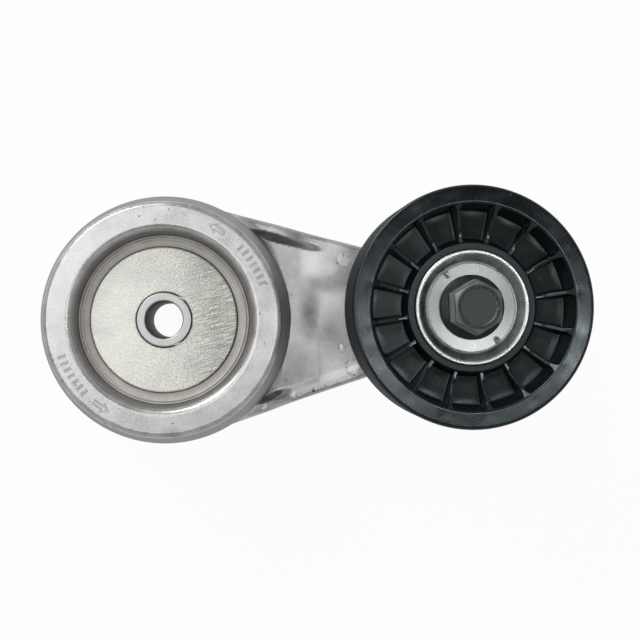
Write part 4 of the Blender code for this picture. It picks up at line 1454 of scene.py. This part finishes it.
        def solid(x: Array, y: Array, z: Array) -> Array:
            """Measures places against the bolt.

            Args:
                x: Places along the arm.
                y: Places across it.
                z: Heights.

            Returns:
                Signed distances, negative inside.
            """
            x = x - WHEEL[0]
            radius = np.hypot(x, y)
            head = np.maximum(np.abs(x), 0.5 * np.abs(x) + math.sqrt(0.75) * np.abs(y))
            head = common(head - self.hex_half, slab(self.head, z), 0.25)
            cone = (z - self.head[1] + (radius - self.head_chamfer) * self.chamfer_slope) * self.chamfer_lean
            head = common(head, cone, 0.3)
            recess = common(radius - self.head_recess[0], self.head_recess[1] - z, 0.3)
            return joined(flange(radius, z), without(head, recess, 0.35), 0.4)

        low, high = (WHEEL[0] - 11.0, -11.0, 14.0), (WHEEL[0] + 11.0, 11.0, 60.2)
        shape = SurfaceNet(solid, low, high, self.bolt_pitch).shape()
        head = shape.points[:, 2] > 51.6
        flat = 1.0 - eased(0.1, 0.5, np.abs(shape.normals[:, 2]))
        chamfer = 1.0 - eased(0.03, 0.12, np.abs(shape.normals[:, 2] - self.chamfer_lean))
        top = (shape.points[:, 2] > 58.3) & (shape.normals[:, 2] > 0.95)
        # Pale flats, rubbed by a socket and painted with highlight; the paler chamfer ring and top face are
        # painted highlight.
        shape.marks = {"skin_wear_and_painted_light": head * np.maximum(flat, 0.4 * chamfer) + 0.08 * top}
        return shape

    def build(self) -> None:
        """Builds and dresses the pieces of the arm."""
        self.casting().piece("tensioner_arm_cast", Body.ARM, Slot.CAST, CAST_ALUMINIUM, ["tensioner_arm"])
        self.raised_marks()
        self.front_shield().piece(
            "front_dust_shield_pressed", Body.ARM, Slot.ZINC, SHIELD_STEEL, ["front_dust_shield"]
        )
        self.rear_shield().piece(
            "rear_dust_shield_pressed", Body.ARM, Slot.ZINC, SHIELD_STEEL, ["rear_dust_shield"]
        )
        self.bolt().piece("pulley_bolt_forged", Body.ARM, Slot.OXIDE, BLACK_OXIDE, ["pulley_bolt"])


@dataclass
class PulleyWheel:
    """Moulded idler pulley: rim, web and hub with thin ribs on both faces."""

    radius: float = 38.1
    rear: float = 30.5
    front: float = 53.5
    rim_in: float = 32.2
    rim_foot: float = 31.0
    hub: float = 20.15
    hub_foot: float = 21.65
    hub_front: float = 50.0
    hub_rear: float = 35.2
    shield_bore: Place = (18.25, 47.8)  # radius and floor of the recess round the front shield
    bearing_bore: Place = (17.8, 36.2)  # radius and floor of the bearing's seat
    rear_bore: float = 16.6
    web: Span = (39.0, 45.0)
    ribs: int = 16
    rib_phase: float = 6.6
    sink: float = 0.03  # how far the front of the rim sinks over a rib
    flare: float = 0.9  # how much wider than its middle a rib is where it meets the rim
    fall: float = 0.35  # how far a front pocket's floor falls either side of its middle, towards the rim
    bow: float = 0.2  # how far a pocket's floor dips between two ribs

    # Offsets from a rib's middle plane, and how much of the rib's height stands there.
    offsets: tuple[float, ...] = (0.0, 0.3, 0.48, 0.58, 0.65, 0.7, 0.9, 0.98, 1.12, 1.4, 1.8, 2.4)
    heights: tuple[float, ...] = (1.0, 1.0, 0.995, 0.975, 0.94, 0.88, 0.1, 0.045, 0.015, 0.0, 0.0, 0.0)
    front_rib: tuple[Place, ...] = ((20.0, 48.8), (23.0, 48.85), (24.6, 49.1), (30.2, 51.5), (32.2, 53.1))
    rear_rib: tuple[Place, ...] = ((20.0, 36.4), (24.0, 35.8), (32.2, 31.7))

    def section(self) -> Array:
        """Makes the section through a pocket.

        Returns:
            Closed profile.
        """
        low, high = self.web
        shield, shield_floor = self.shield_bore
        bearing, bearing_floor = self.bearing_bore
        return rounded(
            [
                Corner(self.radius, self.rear, 1.0),
                Corner(self.radius, self.front, 1.0),
                Corner(self.rim_in, self.front, 0.8),
                Corner(self.rim_foot, high - self.fall, 0.6),
                Corner(self.hub_foot, high + self.fall, 0.6),
                Corner(self.hub, self.hub_front, 0.5),
                Corner(shield, self.hub_front, 0.2),
                Corner(shield, shield_floor, 0.1),
                Corner(bearing, shield_floor, 0.1),
                Corner(bearing, bearing_floor, 0.2),
                Corner(self.rear_bore, bearing_floor, 0.2),
                Corner(self.rear_bore, self.hub_rear, 0.3),
                Corner(self.hub, self.hub_rear, 0.6),
                Corner(self.hub_foot, low, 0.9),
                Corner(self.rim_foot, low, 0.9),
                Corner(self.rim_in, self.rear, 0.5),
            ],
            arc_steps=5,
            longest=0.75,
        )

    def shape(self) -> Shape:
        """Makes the wheel as one grid: the section's points round the axis, raised where the ribs stand.

        Returns:
            The wheel, marked where the belt and the shield rub it, and for the painted sheen on the hub face.
        """
        section = self.section()
        gap = 2 * math.pi / self.ribs
        inner = np.linspace(0.0, 1.0, 6)[1:]
        radius = section[:, :1]
        wider = 1.0 + self.flare * eased(self.rim_foot - 1.6, self.rim_in, radius) ** 2
        near = np.arcsin(np.array(self.offsets)[None, :] * wider / radius)
        far = near[:, -1:] + (gap / 2 - near[:, -1:]) * inner[None, :]
        half = np.concatenate([near, far], axis=1)
        turn = np.concatenate([-half[:, :0:-1][:, 1:], half], axis=1)
        aside = np.abs(turn) * radius
        share = np.interp(aside / wider, self.offsets, self.heights)
        depth = self.sink * np.exp(-((aside / (1.0 + 0.6 * np.maximum(radius - self.rim_in, 0.0))) ** 2))
        height = np.broadcast_to(section[:, 1:], turn.shape).copy()
        pocket = (radius > self.hub - 0.1) & (radius < self.rim_in + 0.1)
        middle = sum(self.web) / 2
        ends = eased(self.hub_foot, self.hub_foot + 2.0, radius)
        ends = ends * (1.0 - eased(self.rim_foot - 2.0, self.rim_foot, radius))
        dip = self.bow * ends * np.sin(np.pi * turn / gap) ** 2
        height -= np.where(height > middle, dip, -dip)
        for side, rib in ((1.0, self.front_rib), (-1.0, self.rear_rib)):
            top = np.interp(radius, *zip(*rib))
            stands = pocket & (side * (height - middle) > 0)
            lift = np.where(stands, np.maximum(side * (top - height), 0.0), 0.0)
            height += side * lift * share
        face = (radius > self.rim_in + 0.3) & (section[:, 1:] > self.front - 0.4)
        height -= np.where(face, depth * (1.0 - eased(34.0, 36.8, radius)), 0.0)
        belt = np.where(radius > self.radius - 0.05, 1.0, 0.2 * (pocket & (share < 0.1)))
        # Paler hub face: scuffed by the shield, and painted sheen.
        hub = np.broadcast_to((section[:, 1:] > self.hub_front - 0.4) & (radius < self.hub + 0.1), turn.shape)
        belt = np.where(hub, 0.5, belt)
        columns = turn.shape[1]
        starts = math.radians(self.rib_phase) + gap * np.arange(self.ribs)
        angle = (starts[None, :, None] + turn[:, None, :]).reshape(len(section), -1)
        height = np.tile(height, (1, self.ribs))
        x, y = WHEEL[0] + radius * np.cos(angle), WHEEL[1] + radius * np.sin(angle)
        points = np.stack([x, y, height], axis=-1).reshape(-1, 3)
        marks = {"skin_wear_and_painted_light": belt, "scuff_and_sheen": hub}
        marks = {name: np.tile(mark, (1, self.ribs)).reshape(-1) for name, mark in marks.items()}
        return Shape(points, grid_faces(len(section), columns * self.ribs), marks=marks)

    def build(self) -> None:
        """Builds and dresses the wheel."""
        self.shape().piece("pulley_moulded", Body.WHEEL, Slot.GLASS_NYLON, GLASS_NYLON, ["pulley"])


@dataclass
class HiddenParts:
    """Inner parts whose CAD shape is right: bearing, bush and damper sleeve. They only get their finish."""

    finishes: tuple[tuple[str, Finish], ...] = (
        ("bearing_inner_race", BEARING_STEEL),
        ("bearing_outer_race", BEARING_STEEL),
        ("bearing_ball", BEARING_STEEL),
        ("bearing_cage", CAGE_NYLON),
        ("front_bearing_seal", NITRILE),
        ("rear_bearing_seal", NITRILE),
        ("pivot_bushing", SINTERED_BRONZE),
        ("damper_sleeve", NATURAL_NYLON),
    )

    def dress(self) -> None:
        """Gives each kept CAD node its finish."""
        for name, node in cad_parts.items():
            for prefix, finish in self.finishes:
                if name.startswith(prefix):
                    node.data.materials.clear()
                    node.data.materials.append(finish.material())
                    LOG.info("%s: kept, %s", name, finish.name)


@dataclass(frozen=True)
class Softbox:
    """A rectangular lamp whose long side lies along X: place, target, size and brightness of its face."""

    name: str
    place: Triple
    target: Triple
    size: tuple[float, float]
    brightness: float


@dataclass
class Studio:
    """Pale floor, soft lamps, dim surroundings and the camera above the part."""

    eye: Triple = (19.0, -2.4, 386.7)
    tilt: Triple = (-4.94, 0.06, -2.3)  # about Y, X and Z
    focal: float = 1094.5  # in pixels of a 640-pixel frame
    frame_width: float = 640.0
    sensor: float = 36.0
    surround: float = 0.12  # light from every side
    tent: float = 0.4  # light that the tent adds at half height
    floor_glow: float = 0.95  # how far the floor shows as plain white
    floor_half: float = 6000.0
    floor_gap: float = 0.02  # room under the lowest point
    paper: str = "#f7f7f7"
    lamps: tuple[Softbox, ...] = (
        Softbox("pulley_strip", (278.0, -34.0, 900.0), (96.0, 0.0, 40.0), (266.0, 56.0), 12.5),
        Softbox("overhead_softbox", (-240.0, 100.0, 850.0), (0.0, 0.0, 40.0), (520.0, 480.0), 1.8),
        Softbox("key_softbox", (-430.0, 745.0, 500.0), (20.0, 0.0, 30.0), (600.0, 500.0), 5.1),
    )

    def add_camera(self) -> None:
        """Adds the camera, which looks down at the part from almost straight above."""
        data = bpy.data.cameras.new("camera")
        data.sensor_width = self.sensor
        data.lens = self.focal / self.frame_width * self.sensor
        data.clip_start, data.clip_end = 0.01, 100.0
        camera = bpy.data.objects.new("camera", data)
        turn = Matrix.Identity(3)
        for angle, axis in zip(self.tilt, "YXZ"):
            turn = turn @ Matrix.Rotation(math.radians(angle), 3, axis)
        camera.matrix_world = Matrix.Translation(Vector(self.eye) * MM) @ turn.to_4x4()
        bpy.context.scene.collection.objects.link(camera)
        bpy.context.scene.camera = camera

    def add_lamp(self, lamp: Softbox) -> None:
        """Adds a softbox that faces its target.

        Args:
            lamp: The softbox.
        """
        data = bpy.data.lights.new(lamp.name, "AREA")
        data.shape = "RECTANGLE"
        data.size, data.size_y = (side * MM for side in lamp.size)
        data.energy = lamp.brightness * math.pi * data.size * data.size_y
        made = bpy.data.objects.new(lamp.name, data)
        back = (Vector(lamp.place) - Vector(lamp.target)).normalized()
        side = (Vector((1.0, 0.0, 0.0)) - back * back.x).normalized()
        turn = Matrix((side, back.cross(side), back)).transposed()
        made.matrix_world = Matrix.Translation(Vector(lamp.place) * MM) @ turn.to_4x4()
        bpy.context.scene.collection.objects.link(made)

    def add_floor(self) -> None:
        """Adds the white paper floor, which shows as white and keeps a trace of the shadow."""
        low = CAD_BOX[0][2] - self.floor_gap * MM
        half = self.floor_half * MM
        mesh = bpy.data.meshes.new("floor")
        corners = [(-half, -half, low), (half, -half, low), (half, half, low), (-half, half, low)]
        mesh.from_pydata(corners, [], [[0, 1, 2, 3]])
        paper = bpy.data.materials.new("white_paper")
        paper.use_nodes = True
        tree = paper.node_tree
        shader = tree.nodes["Principled BSDF"]
        shader.inputs["Base Color"].default_value = srgb(self.paper)
        shader.inputs["Roughness"].default_value = 0.9
        ray = add_node(tree, "LightPath").outputs
        seen = ray["Is Camera Ray"]
        for kind in ("Is Glossy Ray", "Is Transmission Ray"):
            seen = add_node(tree, "Math", {0: seen, 1: ray[kind]}, operation="MAXIMUM").outputs[0]
        share = add_node(tree, "Math", {0: seen, 1: self.floor_glow}, operation="MULTIPLY").outputs[0]
        glow = add_node(tree, "Emission", {"Color": (1.0, 1.0, 1.0, 1.0), "Strength": 1.0}).outputs[0]
        mix = add_node(tree, "MixShader", {0: share, 1: shader.outputs[0], 2: glow}).outputs[0]
        tree.links.new(mix, tree.nodes["Material Output"].inputs["Surface"])
        mesh.materials.append(paper)
        floor = bpy.data.objects.new("floor", mesh)
        bpy.context.scene.collection.objects.link(floor)

    def add_surround(self) -> None:
        """Adds a tent: bright at half height, dim at the floor and overhead, white to the camera."""
        world = bpy.data.worlds.new("studio")
        world.use_nodes = True
        tree = world.node_tree
        way = add_node(tree, "TexCoord").outputs["Generated"]
        rise = add_node(tree, "SeparateXYZ", {0: way}).outputs[2]
        skirting = {0: rise, 1: 0.0, 2: 0.3}
        foot = add_node(tree, "MapRange", skirting, interpolation_type="SMOOTHSTEP").outputs[0]
        roof = {0: rise, 1: 0.68, 2: 0.92, 3: self.tent, 4: 0.0}
        cover = add_node(tree, "MapRange", roof, interpolation_type="SMOOTHSTEP").outputs[0]
        level = {0: foot, 1: cover, 2: self.surround}
        strength = add_node(tree, "Math", level, operation="MULTIPLY_ADD").outputs[0]
        seen = add_node(tree, "LightPath").outputs["Is Camera Ray"]
        strength = add_node(tree, "Math", {0: strength, 1: seen}, operation="MAXIMUM").outputs[0]
        backdrop = tree.nodes["Background"]
        backdrop.inputs["Color"].default_value = (1.0, 1.0, 1.0, 1.0)
        tree.links.new(strength, backdrop.inputs["Strength"])
        bpy.context.scene.world = world

    def build(self) -> None:
        """Sets up the studio."""
        bpy.context.scene.view_settings.view_transform = "Standard"
        self.add_camera()
        self.add_floor()
        self.add_surround()
        for lamp in self.lamps:
            self.add_lamp(lamp)


def main() -> None:
    """Builds the studio and every sub-assembly in order."""
    logging.basicConfig(level=logging.INFO, format="%(name)s: %(message)s")
    Studio().build()
    BaseUnit().build()
    SwingArm().build()
    PulleyWheel().build()
    HiddenParts().dress()


if __name__ == "__main__":
    main()
